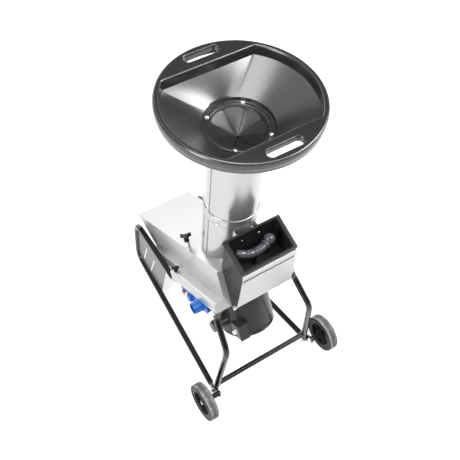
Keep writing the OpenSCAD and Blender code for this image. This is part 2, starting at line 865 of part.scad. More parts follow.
module motor_flange() {
    color("dimgray") on_motor() difference() {
        union() {
            translate([0, 0, housing_top]) cylinder(r = motor_r + 4, h = flange_h);
            translate([0, 0, housing_top - 8]) cylinder(r = bearing_r + 10, h = 10);
        }
        translate([0, 0, upper_bearing_top - bearing_w]) cylinder(r = bearing_r + 0.02, h = 4 * bearing_w);
        translate([0, 0, upper_bearing_top]) cylinder(r = shaft_collar_r + 2, h = 2 * flange_h);
        translate([0, 0, housing_top - 2 * flange_h]) cylinder(r = shaft_r + 4, h = 4 * flange_h);
        for (a = [45 : 90 : 315]) rotate(a) translate([motor_r - 8, 0, housing_top - over])
            cylinder(r = stud_r + hole_gap, h = 3 * flange_h);
    }
}

vent_count = 9;

module motor_housing() {
    h = housing_top - housing_bottom;
    vent_h = 12;
    color("dimgray") on_motor(housing_bottom) difference() {
        ring(motor_r, motor_r - housing_wall, h);
        for (i = [0 : vent_count - 1]) rotate(i * 360 / vent_count)
            translate([motor_r - 2 * housing_wall, -22, h - vent_h - 5])
                cube([3 * housing_wall, 44, vent_h]);
    }
}

module fan_cover() {
    edge = 16;
    wall = 3;
    color("dimgray") on_motor(motor_top - motor_l) difference() {
        rotate_extrude() difference() {
            union() {
                square([motor_r - edge, cap_h]);
                translate([0, edge]) square([motor_r, cap_h - edge]);
                translate([motor_r - edge, edge]) circle(r = edge);
            }
            translate([-over, wall]) square([motor_r - edge + over, cap_h]);
            translate([-over, edge]) square([motor_r - wall + over, cap_h]);
            translate([motor_r - edge, edge]) circle(r = edge - wall);
            translate([-3 * motor_r, -over]) square([3 * motor_r, 3 * cap_h]);
        }
        for (i = [0 : vent_count - 1]) rotate((i + 0.5) * 360 / vent_count)
            translate([motor_r - edge, -20, cap_h - 13]) cube([2 * edge, 40, 6]);
        for (r = [24 : 14 : 80], s = [0, 1, 2, 3]) rotate(s * 90 + 8) rotate_extrude(angle = 74)
            translate([r, -over]) square([7, 3 * wall]);
    }
}

module rear_shield() {
    color("gray") on_motor(shield_top - shield_h) difference() {
        cylinder(r = motor_r - housing_wall, h = shield_h);
        translate([0, 0, -over]) cylinder(r = bearing_r + 0.02, h = shield_h + 2 * over);
        for (i = [0 : 5]) rotate(i * 60) translate([64, 0, -over]) cylinder(r = 20, h = shield_h + 2 * over);
    }
}

module stator() {
    color("sienna") on_motor(core_top - core_h) ring(motor_r - housing_wall, rotor_r + air_gap, core_h);
}

module rotor_core() {
    color("gray") on_motor(core_top - core_h) ring(rotor_r, shaft_r, core_h);
}

module motor_shaft() {
    low = fan_top - fan_h - 1;
    color("silver") on_motor() {
        translate([0, 0, low]) cylinder(r = shaft_r, h = spindle_top - low);
        translate([0, 0, upper_bearing_top + gap])
            cylinder(r = shaft_collar_r, h = disc_bottom - upper_bearing_top - gap);
    }
}

module bearing(top) {
    race = 4;
    color("silver") on_motor(top - bearing_w) difference() {
        ring(bearing_r, shaft_r + fit, bearing_w);
        translate([0, 0, bearing_w - 1.5]) ring(bearing_r - race, shaft_r + race, 3);
        translate([0, 0, -1.5]) ring(bearing_r - race, shaft_r + race, 3);
    }
}

module upper_bearing() { bearing(upper_bearing_top); }

module lower_bearing() { bearing(shield_top - 0.5); }

module cooling_fan() {
    blades = 8;
    color("darkgray") on_motor(fan_top - fan_h) difference() {
        union() {
            cylinder(r = 24, h = fan_h);
            cylinder(r = fan_r, h = 3);
            for (i = [0 : blades - 1]) rotate(i * 360 / blades) translate([20, -1.5, 1])
                cube([fan_r - 22, 3, fan_h - 2]);
        }
        translate([0, 0, -over]) cylinder(r = shaft_r, h = fan_h + 2 * over);
    }
}

// Knives

module at_knives() {
    for (i = [0 : knife_count - 1]) rotate(i * 360 / knife_count + 20) translate([knife_mid_r, 0, 0])
        children();
}

module at_knife_bolts() {
    at_knives() for (s = [-1, 1]) translate([s * knife_l / 4, -4, 0]) children();
}

module knife_disc() {
    slot_depth = 12;
    color("silver") on_motor(disc_bottom) difference() {
        ring(disc_r, shaft_r, disc_t);
        at_knives() translate([-knife_l / 2, knife_w / 2, -over])
            cube([knife_l, slot_depth, disc_t + 2 * over]);
        at_knife_bolts() translate([0, 0, -over]) cylinder(r = stud_r + hole_gap, h = disc_t + 2 * over);
    }
}

module knives() {
    bevel = 10;
    color("silver") on_motor(disc_top) difference() {
        at_knives() translate([-knife_l / 2, 0, 0]) rotate([90, 0, 90]) linear_extrude(knife_l)
            polygon([[-knife_w / 2, 0], [knife_w / 2 - bevel, 0], [knife_w / 2, knife_t],
                [-knife_w / 2, knife_t]]);
        at_knife_bolts() translate([0, 0, -over]) cylinder(r = stud_r + hole_gap, h = knife_t + 2 * over);
    }
}

module knife_bolts() {
    color("gray") on_motor(disc_bottom) at_knife_bolts() {
        translate([0, 0, -4]) cylinder(r = stud_r, h = disc_t + knife_t + 4);
        translate([0, 0, disc_t + knife_t]) cylinder(r1 = 7, r2 = 5.5, h = 4);
        translate([0, 0, -5]) hex(7, 5);
    }
}

module disc_nut() {
    color("gray") on_motor(disc_top) {
        ring(24, shaft_r, 4);
        translate([0, 0, 4]) difference() {
            hex(20, 11);
            translate([0, 0, -over]) cylinder(r = shaft_r, h = 20);
        }
    }
}

// Electrical boxes on the motor

box_x = [-97, -58];
box_u = [-188, -130];
box_n = [-236, -170];

module terminal_box() {
    color("dimgray") on_deck() difference() {
        union() {
            translate([box_x[0], box_u[0] + 4, box_n[0]])
                cube([box_x[1] - box_x[0], box_u[1] - box_u[0], box_n[1] - box_n[0]]);
            translate([box_x[0] - 2, box_u[0], box_n[0] - 2])
                cube([box_x[1] - box_x[0] + 4, 5, box_n[1] - box_n[0] + 4]);
        }
        translate([0, -motor_front, motor_top - motor_l - 40]) cylinder(r = motor_r + 0.1, h = motor_l);
        translate([box_x[0] - 5, box_u[0] + 26, gland_n]) rotate([0, 90, 0]) cylinder(r = gland_r, h = 15);
    }
}

gland_n = -200;
gland_r = 6;

module cable_gland() {
    color("white") on_deck() translate([box_x[0], box_u[0] + 26, gland_n]) rotate([0, -90, 0]) {
        translate([0, 0, -9]) cylinder(r = gland_r, h = 10);
        hex(11, 7);
        translate([0, 0, 7]) cylinder(r1 = 10, r2 = 8, h = 9);
    }
}

cap_u = -100;
cap_n = -172;
cap_r = 23;
cap_end = -166;

module capacitor() {
    color("dimgray") on_deck() difference() {
        union() {
            translate([cap_end, cap_u, cap_n]) rotate([0, 90, 0]) cylinder(r = cap_r, h = 80);
            translate([cap_end + 10, cap_u, cap_n]) rotate([0, 90, 0]) cylinder(r = cap_r + 3, h = 8);
            translate([cap_end + 20, cap_u - 15, cap_n]) cube([60, 30, 36]);
        }
        translate([0, -motor_front, motor_top - motor_l - 40]) cylinder(r = motor_r + 0.1, h = 2 * motor_l);
    }
}

// Switch box under the deck edge

switch_x = 6 - deck_half_w;
switch_u = [-131, 78];
switch_n = [-88, -deck_h];
face_t = 4;
stop_u = 60;
start_u = 34;
button_r = 9;
button_n = -66;
inlet_u = -80;
inlet_n = -65;
inlet_r = 22;
inlet_l = 36;

module at_buttons() {
    for (u = [stop_u, start_u]) translate([switch_x - face_t, u, button_n]) rotate([0, 90, 0]) children();
}

module switch_box() {
    depth = 52;
    rocker = [26, 30, 16];
    button_depth = 26;
    inlet_depth = 24;
    l = switch_u[1] - switch_u[0];
    h = switch_n[1] - switch_n[0];
    mid = [(switch_u[1] + switch_u[0]) / 2, (switch_n[1] + switch_n[0]) / 2];
    color("royalblue") on_deck() difference() {
        union() {
            translate([switch_x, switch_u[0] + 6, switch_n[0] + 4]) cube([depth, l - 12, h - 4]);
            translate([switch_x - face_t, mid.x, mid.y]) rotate([90, 0, 90]) linear_extrude(face_t)
                round_rect(l, h, 8);
            translate([switch_x - rocker.z, 0, button_n]) rotate([90, 0, 90])
                linear_extrude(rocker.z) round_rect(rocker.x, rocker.y, 6);
        }
        at_buttons() translate([0, 0, -over]) cylinder(r = button_r + gap, h = button_depth);
        translate([switch_x - 2 * face_t, inlet_u, inlet_n]) rotate([0, 90, 0])
            cylinder(r = inlet_r, h = inlet_depth);
    }
}

module button(u, colour) {
    color(colour) on_deck() translate([switch_x - face_t - 7, u, button_n]) rotate([0, 90, 0]) {
        cylinder(r1 = button_r - 1, r2 = button_r, h = 1);
        translate([0, 0, 1]) cylinder(r = button_r, h = 20);
    }
}

module stop_button() { button(stop_u, "firebrick"); }

module start_button() { button(start_u, "whitesmoke"); }

module mains_inlet() {
    shroud = 3;
    base = 18;
    color("royalblue") on_deck() translate([switch_x - face_t + base - 2, inlet_u, inlet_n])
        rotate([0, -90, 0]) difference() {
        union() {
            cylinder(r = inlet_r - 0.1, h = base - 2);
            translate([0, 0, base - 2]) cylinder(r1 = inlet_r + 3, r2 = inlet_r + 1, h = inlet_l);
        }
        translate([0, 0, base]) cylinder(r = inlet_r + 1 - shroud, h = 2 * inlet_l);
        at_pins() translate([0, 0, 4]) cylinder(r = 2.5, h = base);
    }
}

module at_pins() { for (i = [0 : 2]) rotate(i * 120) translate([10, 0, 0]) children(); }

module inlet_pins() {
    color("gold") on_deck() translate([switch_x - face_t + 16, inlet_u, inlet_n]) rotate([0, -90, 0])
        at_pins() translate([0, 0, 4]) cylinder(r = 2.5, h = 36);
}

// Frame

loop_points = [loop_start, loop_corner_top, loop_corner_low, loop_low_end];
leg_points = [leg_start, leg_bend, leg_low_end];

// Pad across X, for the bolted foot joint
module foot_pad(x, toward) {
    d = unit(toward - joint_pos - [x, 0, 0]);
    translate([x - pad_t / 2, 0, 0]) rotate([90, 0, 90]) linear_extrude(pad_t) {
        translate([joint_pos.y, joint_pos.z]) circle(r = pad_r);
        polygon([
            [joint_pos.y - d.z * pad_r, joint_pos.z + d.y * pad_r],
                [joint_pos.y + d.z * pad_r, joint_pos.z - d.y * pad_r],
            [joint_pos.y + d.z * pad_r + d.y * 20, joint_pos.z - d.y * pad_r + d.z * 20],
            [joint_pos.y - d.z * pad_r + d.y * 20, joint_pos.z + d.y * pad_r + d.z * 20]
        ]);
    }
}

module foot_slab(x, toward) {
    d = unit(toward - joint_pos - [x, 0, 0]);
    w = pad_r - slab_inset;
    side = [-d.z, d.y] * w;
    fwd = [d.y, d.z];
    translate([x - pad_t / 2 + slab_inset, joint_pos.y + d.y * 15, joint_pos.z + d.z * 15])
        rotate([90, 0, 90]) linear_extrude(pad_t - 2 * slab_inset)
            polygon([side, -side, fwd - side, fwd + side]);
}

module foot_hole() {
    translate([0, joint_pos.y, joint_pos.z]) rotate([0, 90, 0]) cylinder(r = m10_r + hole_gap, h = 400);
}

// Pad under the deck, drawn in the deck frame
module deck_pad(x, u, toward) {
    translate([x, u, -deck_h - pad_t]) linear_extrude(pad_t) {
        circle(r = pad_r);
        translate([-pad_r, toward > 0 ? 0 : -deck_pad_l]) square([2 * pad_r, deck_pad_l]);
    }
}

module deck_slab(x, u, toward) {
    translate([x - pad_r + slab_inset, u + toward * (deck_pad_l - 4), -deck_h - pad_t + slab_inset])
        cube([2 * (pad_r - slab_inset), 2, pad_t - 3 * slab_inset]);
}

module in_deck_frame() { translate([0, 0, deck_z]) rotate([-deck_slope, 0, 0]) children(); }

module side_loop() {
    placed() difference() {
        union() {
            bent_tube(loop_points, tube_r, tube_wall);
            squash(loop_start, loop_corner_top) in_deck_frame() deck_slab(clamp_x, clamp_u, 1);
            in_deck_frame() deck_pad(clamp_x, clamp_u, 1);
            squash(loop_low_end, loop_corner_low) foot_slab(loop_pad_x, loop_corner_low);
            foot_pad(loop_pad_x, loop_corner_low);
        }
        foot_hole();
        in_deck_frame() translate([clamp_x, clamp_u, -2 * deck_h])
            cylinder(r = stud_r + gap, h = 2 * deck_h);
    }
}

module side_leg() {
    placed() difference() {
        union() {
            bent_tube(leg_points, tube_r, tube_wall);
            squash(leg_start, leg_bend) in_deck_frame() deck_slab(leg_bolt_x, leg_bolt_u, -1);
            in_deck_frame() deck_pad(leg_bolt_x, leg_bolt_u, -1);
            squash(leg_low_end, leg_bend) foot_slab(leg_pad_x, leg_bend);
            foot_pad(leg_pad_x, leg_bend);
        }
        foot_hole();
        in_deck_frame() translate([leg_bolt_x, leg_bolt_u, -2 * deck_h])
            cylinder(r = stud_r + hole_gap, h = 2 * deck_h);
    }
}

module right_loop() { color("black") side_loop(); }

module left_loop() { color("black") mirror([1, 0, 0]) side_loop(); }

module right_leg() { color("black") side_leg(); }

module left_leg() { color("black") mirror([1, 0, 0]) side_leg(); }

// Point of the right leg's lower run at a height
function leg_at(z) = leg_bend + (leg_end - leg_bend) * (leg_bend.z - z) / (leg_bend.z - leg_end.z);

module crossbar() {
    c = leg_at(crossbar_z);
    color("black") placed() difference() {
        pipe([-c.x, c.y, c.z], [c.x, c.y, c.z], tube_r - 1.5, tube_wall);
        both_sides() rod(leg_bend, leg_end, tube_r + 0.1);
    }
}

plate_sheet = 2;
plate_slot_w = 12;

module plate_outline() {
    cut = bend_r * 0.58;
    polygon([
        [loop_rear - cut, tube_r], [loop_rear, tube_r + cut], [loop_rear, loop_top_z - cut],
            [loop_rear - cut, loop_top_z],
        [174, loop_top_z + 18], [222, 22]
    ]);
}

module plate_slots() {
    for (p = [[[364, 178], [402, 44]], [[292, 180], [330, 46]]]) {
        for (q = p) translate(q) circle(d = plate_slot_w);
        d = unit(p[1] - p[0]) * plate_slot_w / 2;
        polygon([p[0] + [d.y, -d.x], p[0] + [-d.y, d.x], p[1] + [-d.y, d.x], p[1] + [d.y, -d.x]]);
    }
}

// Slotted sheet between the upper and lower tubes of a loop
module side_plate() {
    turn = 3.4;
    placed() difference() {
        translate([rear_half_w, loop_rear, 0]) rotate(turn) translate([-plate_sheet / 2, -loop_rear, 0])
            rotate([90, 0, 90]) linear_extrude(plate_sheet) difference() {
                plate_outline();
                plate_slots();
            }
        bent_tube(loop_points, tube_r + 0.1, tube_r + 1);
    }
}

module right_plate() { color("gray") side_plate(); }

module left_plate() { color("gray") mirror([1, 0, 0]) side_plate(); }

// Clamp knobs that hold the deck to the loops

module clamp_knob() {
    barrel_l = 30;
    color("black") on_deck(clamp_u, gap) translate([clamp_x, 0, 0]) {
        cylinder(r = 9, h = 4);
        cylinder(r = 6, h = 14);
        translate([0, 0, 14]) rotate([0, 90, 30]) translate([0, 0, -barrel_l / 2])
            cylinder(r = 7, h = barrel_l);
        translate([0, 0, -deck_h - pad_t - 12]) cylinder(r = stud_r, h = deck_h + pad_t + 13);
    }
}

module right_clamp_knob() { clamp_knob(); }

module left_clamp_knob() { mirror([1, 0, 0]) clamp_knob(); }

module clamp_nuts() {
    color("silver") both_sides() on_deck(clamp_u, -deck_h - pad_t - 7) translate([clamp_x, 0, 0])
        difference() {
        hex(8.5, 7);
        translate([0, 0, -over]) cylinder(r = stud_r + fit, h = 9);
    }
}

module frame_bolts() {
    color("silver") both_sides() {
        // Foot joint
        placed() translate([leg_pad_x - pad_t / 2, joint_pos.y, joint_pos.z]) rotate([0, 90, 0]) {
            translate([0, 0, -7]) hex(9, 7);
            cylinder(r = m10_r, h = 2 * pad_t + bracket_t + 12);
            translate([0, 0, 2 * pad_t + bracket_t]) hex(9, 8);
        }
        // Leg to deck
        on_deck(leg_bolt_u) translate([leg_bolt_x, 0, 0]) {
            translate([0, 0, -deck_h - pad_t - 1]) cylinder(r = stud_r, h = pad_t + 2 * deck_plate_t + 1);
            translate([0, 0, -deck_h - pad_t - 2]) cylinder(r = 10, h = 2);
            translate([0, 0, -deck_h - pad_t - 9]) hex(8, 8);
        }
    }
}

module axle_brackets() {
    strip_r = 16;
    d = unit([axle_pos.y - joint_pos.y, axle_pos.z - joint_pos.z]);
    n = [-d.y, d.x] * strip_r;
    j = [joint_pos.y, joint_pos.z];
    a = [axle_pos.y, axle_pos.z];
    color("black") both_sides() placed() translate([bracket_x, 0, 0]) rotate([90, 0, 90])
        linear_extrude(bracket_t) difference() {
        union() {
            polygon([j + n, j - n, a - n, a + n]);
            for (p = [j, a]) translate(p) circle(r = strip_r);
        }
        translate(j) circle(r = m10_r + hole_gap);
        translate(a) circle(r = axle_r + hole_gap);
    }
}

axle_end_x = hub_web_x + hub_web_t + 14;

module on_axle(x) { placed() translate([x, axle_pos.y, axle_pos.z]) rotate([0, 90, 0]) children(); }

module axle_bolts() {
    color("silver") both_sides() {
        on_axle(bracket_x - nut_t) hex(10, nut_t);
        on_axle(bracket_x - 1) cylinder(r = axle_r, h = axle_end_x - bracket_x);
        on_axle(hub_web_x + hub_web_t + 2 + gap) hex(10, nut_t);
    }
}

module axle_spacers() {
    color("dimgray") both_sides() on_axle(bracket_x + bracket_t)
        ring(11, axle_r + fit, wheel_inner_x - bracket_x - bracket_t - gap);
}

// Wheels

module wheel_tyre() {
    shoulder = 7;
    color("gray") on_axle(wheel_inner_x) rotate_extrude($fn = 96) {
        translate([hub_r + 0.1, 0]) square([wheel_r - hub_r - 0.1 - shoulder, wheel_w]);
        translate([wheel_r - shoulder - over, shoulder]) square([shoulder + over, wheel_w - 2 * shoulder]);
        for (x = [shoulder, wheel_w - shoulder]) translate([wheel_r - shoulder, x]) circle(r = shoulder);
    }
}

module wheel_hub() {
    rim_t = 6;
    ribs = 6;
    web = hub_web_x - wheel_inner_x;
    color("black") on_axle(wheel_inner_x) difference() {
        union() {
            translate([0, 0, hub_face]) ring(hub_r, hub_r - rim_t, wheel_w - 2 * hub_face);
            translate([0, 0, web]) cylinder(r = hub_r - 1, h = hub_web_t);
            cylinder(r = hub_boss_r, h = web + hub_web_t + 2);
            for (i = [0 : ribs - 1]) rotate(i * 360 / ribs) translate([0, -1.5, 5])
                cube([hub_r - 2, 3, web]);
        }
        translate([0, 0, -over]) cylinder(r = axle_r + fit, h = wheel_w + 2 * over);
    }
}

module right_tyre() { wheel_tyre(); }

module left_tyre() { mirror([1, 0, 0]) wheel_tyre(); }

module right_hub() { wheel_hub(); }

module left_hub() { mirror([1, 0, 0]) wheel_hub(); }

funnel();
throat_ring();
splash_guard();
throat_bolts();
upper_chute();
chute_stub();
joint_band();
chute_bolts();
knife_cover();
knob_spacer();
cover_knob();
knife_deck();
branch_hopper();
front_panel();
hopper_bracket();
hopper_clips();
hopper_bolts();
pusher_plate();
pusher_grip();
motor_flange();
motor_housing();
fan_cover();
rear_shield();
stator();
rotor_core();
motor_shaft();
upper_bearing();
lower_bearing();
cooling_fan();
knife_disc();
knives();
knife_bolts();
disc_nut();
terminal_box();
cable_gland();
capacitor();
switch_box();
stop_button();
start_button();
mains_inlet();
inlet_pins();
left_loop();
right_loop();
left_leg();
right_leg();
crossbar();
left_plate();
right_plate();
left_clamp_knob();
right_clamp_knob();
clamp_nuts();
frame_bolts();
axle_brackets();
axle_bolts();
axle_spacers();
left_tyre();
left_hub();
right_tyre();
right_hub();
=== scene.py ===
"""Looks of a wheeled garden shredder: detailed pieces, finishes, light and camera around its solids."""

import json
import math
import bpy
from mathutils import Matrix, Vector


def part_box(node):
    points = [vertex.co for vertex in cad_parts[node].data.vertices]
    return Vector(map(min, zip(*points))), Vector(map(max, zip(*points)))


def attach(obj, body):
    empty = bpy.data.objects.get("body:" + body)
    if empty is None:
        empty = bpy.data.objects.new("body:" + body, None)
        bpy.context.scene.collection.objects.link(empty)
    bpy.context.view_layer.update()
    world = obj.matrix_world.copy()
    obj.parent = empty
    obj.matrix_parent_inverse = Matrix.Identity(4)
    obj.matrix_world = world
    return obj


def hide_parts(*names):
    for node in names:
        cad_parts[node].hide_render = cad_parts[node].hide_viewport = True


bl_info = {
    "name": "Garden shredder looks",
    "version": (1, 0, 0),
    "blender": (4, 5, 0),
    "location": "3D View > Sidebar > Shredder",
    "description": "Dresses the packed garden shredder with detailed pieces, finishes, light and camera",
    "category": "Object",
}

import bmesh
import bpy
from bpy.props import FloatProperty, FloatVectorProperty, IntProperty, PointerProperty
from mathutils import Matrix, Vector

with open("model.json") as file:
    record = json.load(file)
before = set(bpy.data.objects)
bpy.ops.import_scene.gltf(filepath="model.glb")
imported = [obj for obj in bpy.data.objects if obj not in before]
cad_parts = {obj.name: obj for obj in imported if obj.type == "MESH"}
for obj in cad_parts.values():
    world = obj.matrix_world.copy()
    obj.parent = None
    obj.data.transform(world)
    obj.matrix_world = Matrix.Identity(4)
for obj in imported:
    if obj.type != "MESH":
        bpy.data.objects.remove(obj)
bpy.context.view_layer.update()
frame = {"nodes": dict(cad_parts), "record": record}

TURN = 2 * math.pi


def middle(node):
    """Middle of a CAD node's box."""
    low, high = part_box(node)
    return (low + high) / 2


# The chute axis and the sloping deck are the two frames that most pieces hang from
CHUTE_Y = middle("upper_chute").y
RIM_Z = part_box("funnel")[1].z
DECK_SLOPE = math.radians(30)
DECK_Z = 0.403
FROM_CHUTE = Matrix.Translation((0, CHUTE_Y, 0))
FROM_DECK = Matrix.Translation((0, CHUTE_Y, DECK_Z)) @ Matrix.Rotation(-DECK_SLOPE, 4, "X")

# Fineness of the meshes: sides of a round shape, crease angles in degrees, distances that count as none
ROUND = 128
CREASE, SOFT_CREASE = 35, 32
FLAT_ANGLE = 0.4
MERGE, FINE_MERGE = 2e-6, 1e-6


# Sizes and colours a user would change


def length(name, description, default):
    return FloatProperty(name=name, description=description, default=default, unit="LENGTH", precision=4)


def colour(name, description, default):
    return FloatVectorProperty(
        name=name, description=description, default=default, size=3, subtype="COLOR", min=0, max=1
    )


def power(name, description, default):
    return FloatProperty(name=name, description=description, default=default, unit="POWER")


class FunnelSizes(bpy.types.PropertyGroup):
    """Sizes of the feed funnel and its splash guard"""

    rim_radius: length("Rim radius", "Outer radius of the rim", 0.270)
    skirt: length("Skirt", "Height of the outer skirt", 0.043)
    bowl_radius: length("Bowl radius", "Radius of the bowl where it meets the rim", 0.250)
    flat: length("Flat ends", "Distance of the flat bowl ends from the chute axis", 0.182)
    wall_depth: length("Wall depth", "Depth of the straight wall under the rim", 0.040)
    throat_drop: length("Throat drop", "Depth of the throat ring below the rim", 0.122)
    throat_radius: length("Throat radius", "Radius where the cone meets the throat ring", 0.120)
    flat_spread: FloatProperty(
        name="Flat spread", description="Half angle of the throat under each flat end, in degrees", default=32
    )
    shell: length("Shell", "Wall of the moulding", 0.004)
    slot_length: length("Slot length", "Length of each hand slot", 0.130)
    slot_width: length("Slot width", "Width of each hand slot", 0.032)
    slot_distance: length("Slot distance", "Distance of the hand slots from the chute axis", 0.230)
    flaps: IntProperty(name="Flaps", description="Number of rubber flaps", default=8, min=4, max=12)
    flap_drop: length("Flap drop", "Depth of the flap tips below the guard's rim", 0.045)


class FrameSizes(bpy.types.PropertyGroup):
    """Sizes of the tube frame and the wheels"""

    tube_radius: length("Tube radius", "Outer radius of the frame tube", 0.0125)
    bend_radius: length("Bend radius", "Bend radius at the tube's middle line", 0.052)
    wheel_radius: length("Wheel radius", "Outer radius of the tyres", 0.080)
    wheel_width: length("Wheel width", "Width of the tyres", 0.040)
    flange_radius: length("Hub flange radius", "Radius of the hub's outer flanges", 0.068)


class FinishColours(bpy.types.PropertyGroup):
    """Colours of the finishes"""

    moulding: colour("Moulding", "Black moulded plastic", (0.014, 0.014, 0.0155))
    rubber: colour("Rubber", "Rubber of the splash guard", (0.012, 0.012, 0.0135))
    silver: colour("Silver paint", "Sheet metal of chute, cover and deck", (0.505, 0.513, 0.520))
    tube: colour("Tube paint", "Gloss paint of the frame", (0.006, 0.006, 0.0065))
    plate: colour("Plate paint", "Paint of the slotted side plates", (0.155, 0.155, 0.158))
    motor: colour("Motor paint", "Paint of the motor", (0.020, 0.020, 0.022))
    blue: colour("Switch blue", "Plastic of switch and inlet", (0.010, 0.120, 0.46))
    red: colour("Stop red", "Plastic of the stop button", (0.34, 0.012, 0.012))
    pale: colour("Pale plastic", "Plastic of the start button and the gland", (0.78, 0.78, 0.75))
    tyre: colour("Tyre", "Rubber of the tyres", (0.21, 0.21, 0.212))
    grip: colour("Grip", "Plastic of the pusher grip", (0.050, 0.052, 0.060))
    zinc: colour("Zinc", "Plated bolts", (0.74, 0.74, 0.72))
    steel: colour("Steel", "Machined steel", (0.50, 0.50, 0.51))
    cast: colour("Cast shield", "Bare casting of the motor's rear shield", (0.4, 0.4, 0.41))
    varnish: colour("Winding varnish", "Varnished wire in the motor", (0.30, 0.13, 0.05))
    fan: colour("Fan", "Plastic of the cooling fan", (0.16, 0.16, 0.17))
    brass: colour("Brass", "Contact pins of the mains inlet", (0.72, 0.55, 0.22))


class StageSettings(bpy.types.PropertyGroup):
    """Light and camera"""

    lens: FloatProperty(
        name="Lens", description="Focal length for a 36 mm frame", default=57.605, subtype="DISTANCE_CAMERA"
    )
    top: power("Top light", "Power of the lamp overhead", 76)
    soft: power("Soft light", "Power of the lamp above the rear", 20)
    rear: power("Rear light", "Power of the lamp behind the machine", 42)
    front: power("Front light", "Power of the lamp at the front right", 112)
    brow: power("Brow light", "Power of the lamp above the front", 38)
    low: power("Low light", "Power of the low lamp at the right", 14)
    left: power("Left light", "Power of the lamp at the left", 80)
    floor: FloatProperty(name="Floor", description="Own brightness of the floor as background", default=0.72)
    sky: FloatProperty(name="Sky", description="Strength of the surrounding light", default=0.112)
    ceiling: FloatVectorProperty(
        name="Ceiling",
        description="Heights of a direction where the white walls end and the dark ceiling starts",
        default=(0.15, 0.40),
        size=2,
    )


class ShredderSettings(bpy.types.PropertyGroup):
    """All settings of the garden shredder"""

    funnel: PointerProperty(type=FunnelSizes)
    frame: PointerProperty(type=FrameSizes)
    colours: PointerProperty(type=FinishColours)
    stage: PointerProperty(type=StageSettings)


def settings():
    return bpy.context.scene.shredder


# Node writing


class Wire:
    """A socket that can stand in a Python expression."""

    def __init__(self, writer, socket):
        self.writer = writer
        self.socket = socket

    def math(self, operation, other=0.0, swapped=False):
        pair = (other, self) if swapped else (self, other)
        return self.writer.add("ShaderNodeMath", {"operation": operation}, dict(enumerate(pair)))

    def __add__(self, other):
        return self.math("ADD", other)

    __radd__ = __add__

    def __mul__(self, other):
        return self.math("MULTIPLY", other)

    __rmul__ = __mul__

    def __sub__(self, other):
        return self.math("SUBTRACT", other)

    def __rsub__(self, other):
        return self.math("SUBTRACT", other, swapped=True)

    def __rtruediv__(self, other):
        return self.math("DIVIDE", other, swapped=True)


class NodeWriter:
    """A node tree while it is being written."""

    def __init__(self, tree):
        self.tree = tree
        tree.nodes.clear()

    def add(self, kind, options=None, sockets=None, output=0):
        """Adds a node with its options, then its sockets' values or wires; a list holds several wires."""
        node = self.tree.nodes.new(kind)
        for key, value in (options or {}).items():
            if key == "stops":
                for stop, (position, tone) in zip(node.color_ramp.elements, value):
                    stop.position = position
                    stop.color = (tone, tone, tone, 1)
            else:
                setattr(node, key, value)
        for key, value in (sockets or {}).items():
            for item in value if isinstance(value, list) else [value]:
                if isinstance(item, Wire):
                    self.tree.links.new(item.socket, node.inputs[key])
                else:
                    node.inputs[key].default_value = item
        return Wire(self, node.outputs[output]) if node.outputs else None


class Finish(NodeWriter):
    """A node material, or the world, while it is being written."""

    MIX_COLOURS = (6, 7)
    MIX_RESULT = 2

    def __init__(self, name, blocks="materials"):
        self.block = getattr(bpy.data, blocks).new(name)
        self.block.use_nodes = True
        super().__init__(self.block.node_tree)

    def place(self, stretch=None):
        spot = self.add("ShaderNodeTexCoord", output="Object")
        if stretch is None:
            return spot
        return self.add("ShaderNodeMapping", sockets={"Vector": spot, "Scale": stretch})

    def noise(self, spot, scale, detail=2, roughness=0.5):
        sockets = {"Vector": spot, "Scale": scale, "Detail": detail, "Roughness": roughness}
        return self.add("ShaderNodeTexNoise", sockets=sockets)

    def ramp(self, value, low, high):
        return self.add("ShaderNodeValToRGB", {"stops": ((low, 0.0), (high, 1.0))}, {"Fac": value})

    def mix(self, amount, *colours):
        """A blend of two colours, each a tuple or a wire."""
        sockets = {"Factor": amount}
        for key, tone in zip(self.MIX_COLOURS, colours):
            sockets[key] = (*tone, 1) if isinstance(tone, tuple) else tone
        return self.add("ShaderNodeMix", {"data_type": "RGBA"}, sockets, output=self.MIX_RESULT)

    def bump(self, height, strength, distance):
        sockets = {"Height": height, "Strength": strength, "Distance": distance}
        return self.add("ShaderNodeBump", sockets=sockets)

    def seen(self):
        """1 for the rays that show the background: from the camera, off gloss or through glass."""
        rays = ("Is Camera Ray", "Is Glossy Ray", "Is Transmission Ray")
        camera, gloss, glass = (self.add("ShaderNodeLightPath", output=ray) for ray in rays)
        return camera.math("MAXIMUM", gloss).math("MAXIMUM", glass)

    def surface(self, **sockets):
        sockets = {key.replace("_", " "): value for key, value in sockets.items()}
        shader = self.add("ShaderNodeBsdfPrincipled", sockets=sockets)
        self.add("ShaderNodeOutputMaterial", sockets={"Surface": shader})
        return self.block


# Finishes


def shade(base, factor):
    return tuple(min(1.0, c * factor) for c in base)


def moulded_plastic(name, base, roughness, grain=0.06, gloss=0.5):
    """Injection moulded plastic: fine grain, broad gloss changes and faint rubbing marks."""
    finish = Finish(name)
    spot = finish.place()
    broad = finish.noise(spot, scale=7, detail=3)
    fine = finish.noise(spot, scale=900)
    marks = finish.noise(finish.place(stretch=(3, 3, 26)), scale=16, detail=4, roughness=0.6)
    rubbed = finish.ramp(marks, low=0.56, high=0.72)
    tone = finish.mix(broad, shade(base, 0.88), shade(base, 1.14))
    tone = finish.mix(rubbed * 0.16, tone, shade(base, 1.5))
    return finish.surface(
        Base_Color=tone,
        Roughness=roughness + (broad - 0.5) * 0.08 + rubbed * 0.03,
        Specular_IOR_Level=gloss,
        Normal=finish.bump(fine, strength=grain, distance=0.0004),
    )


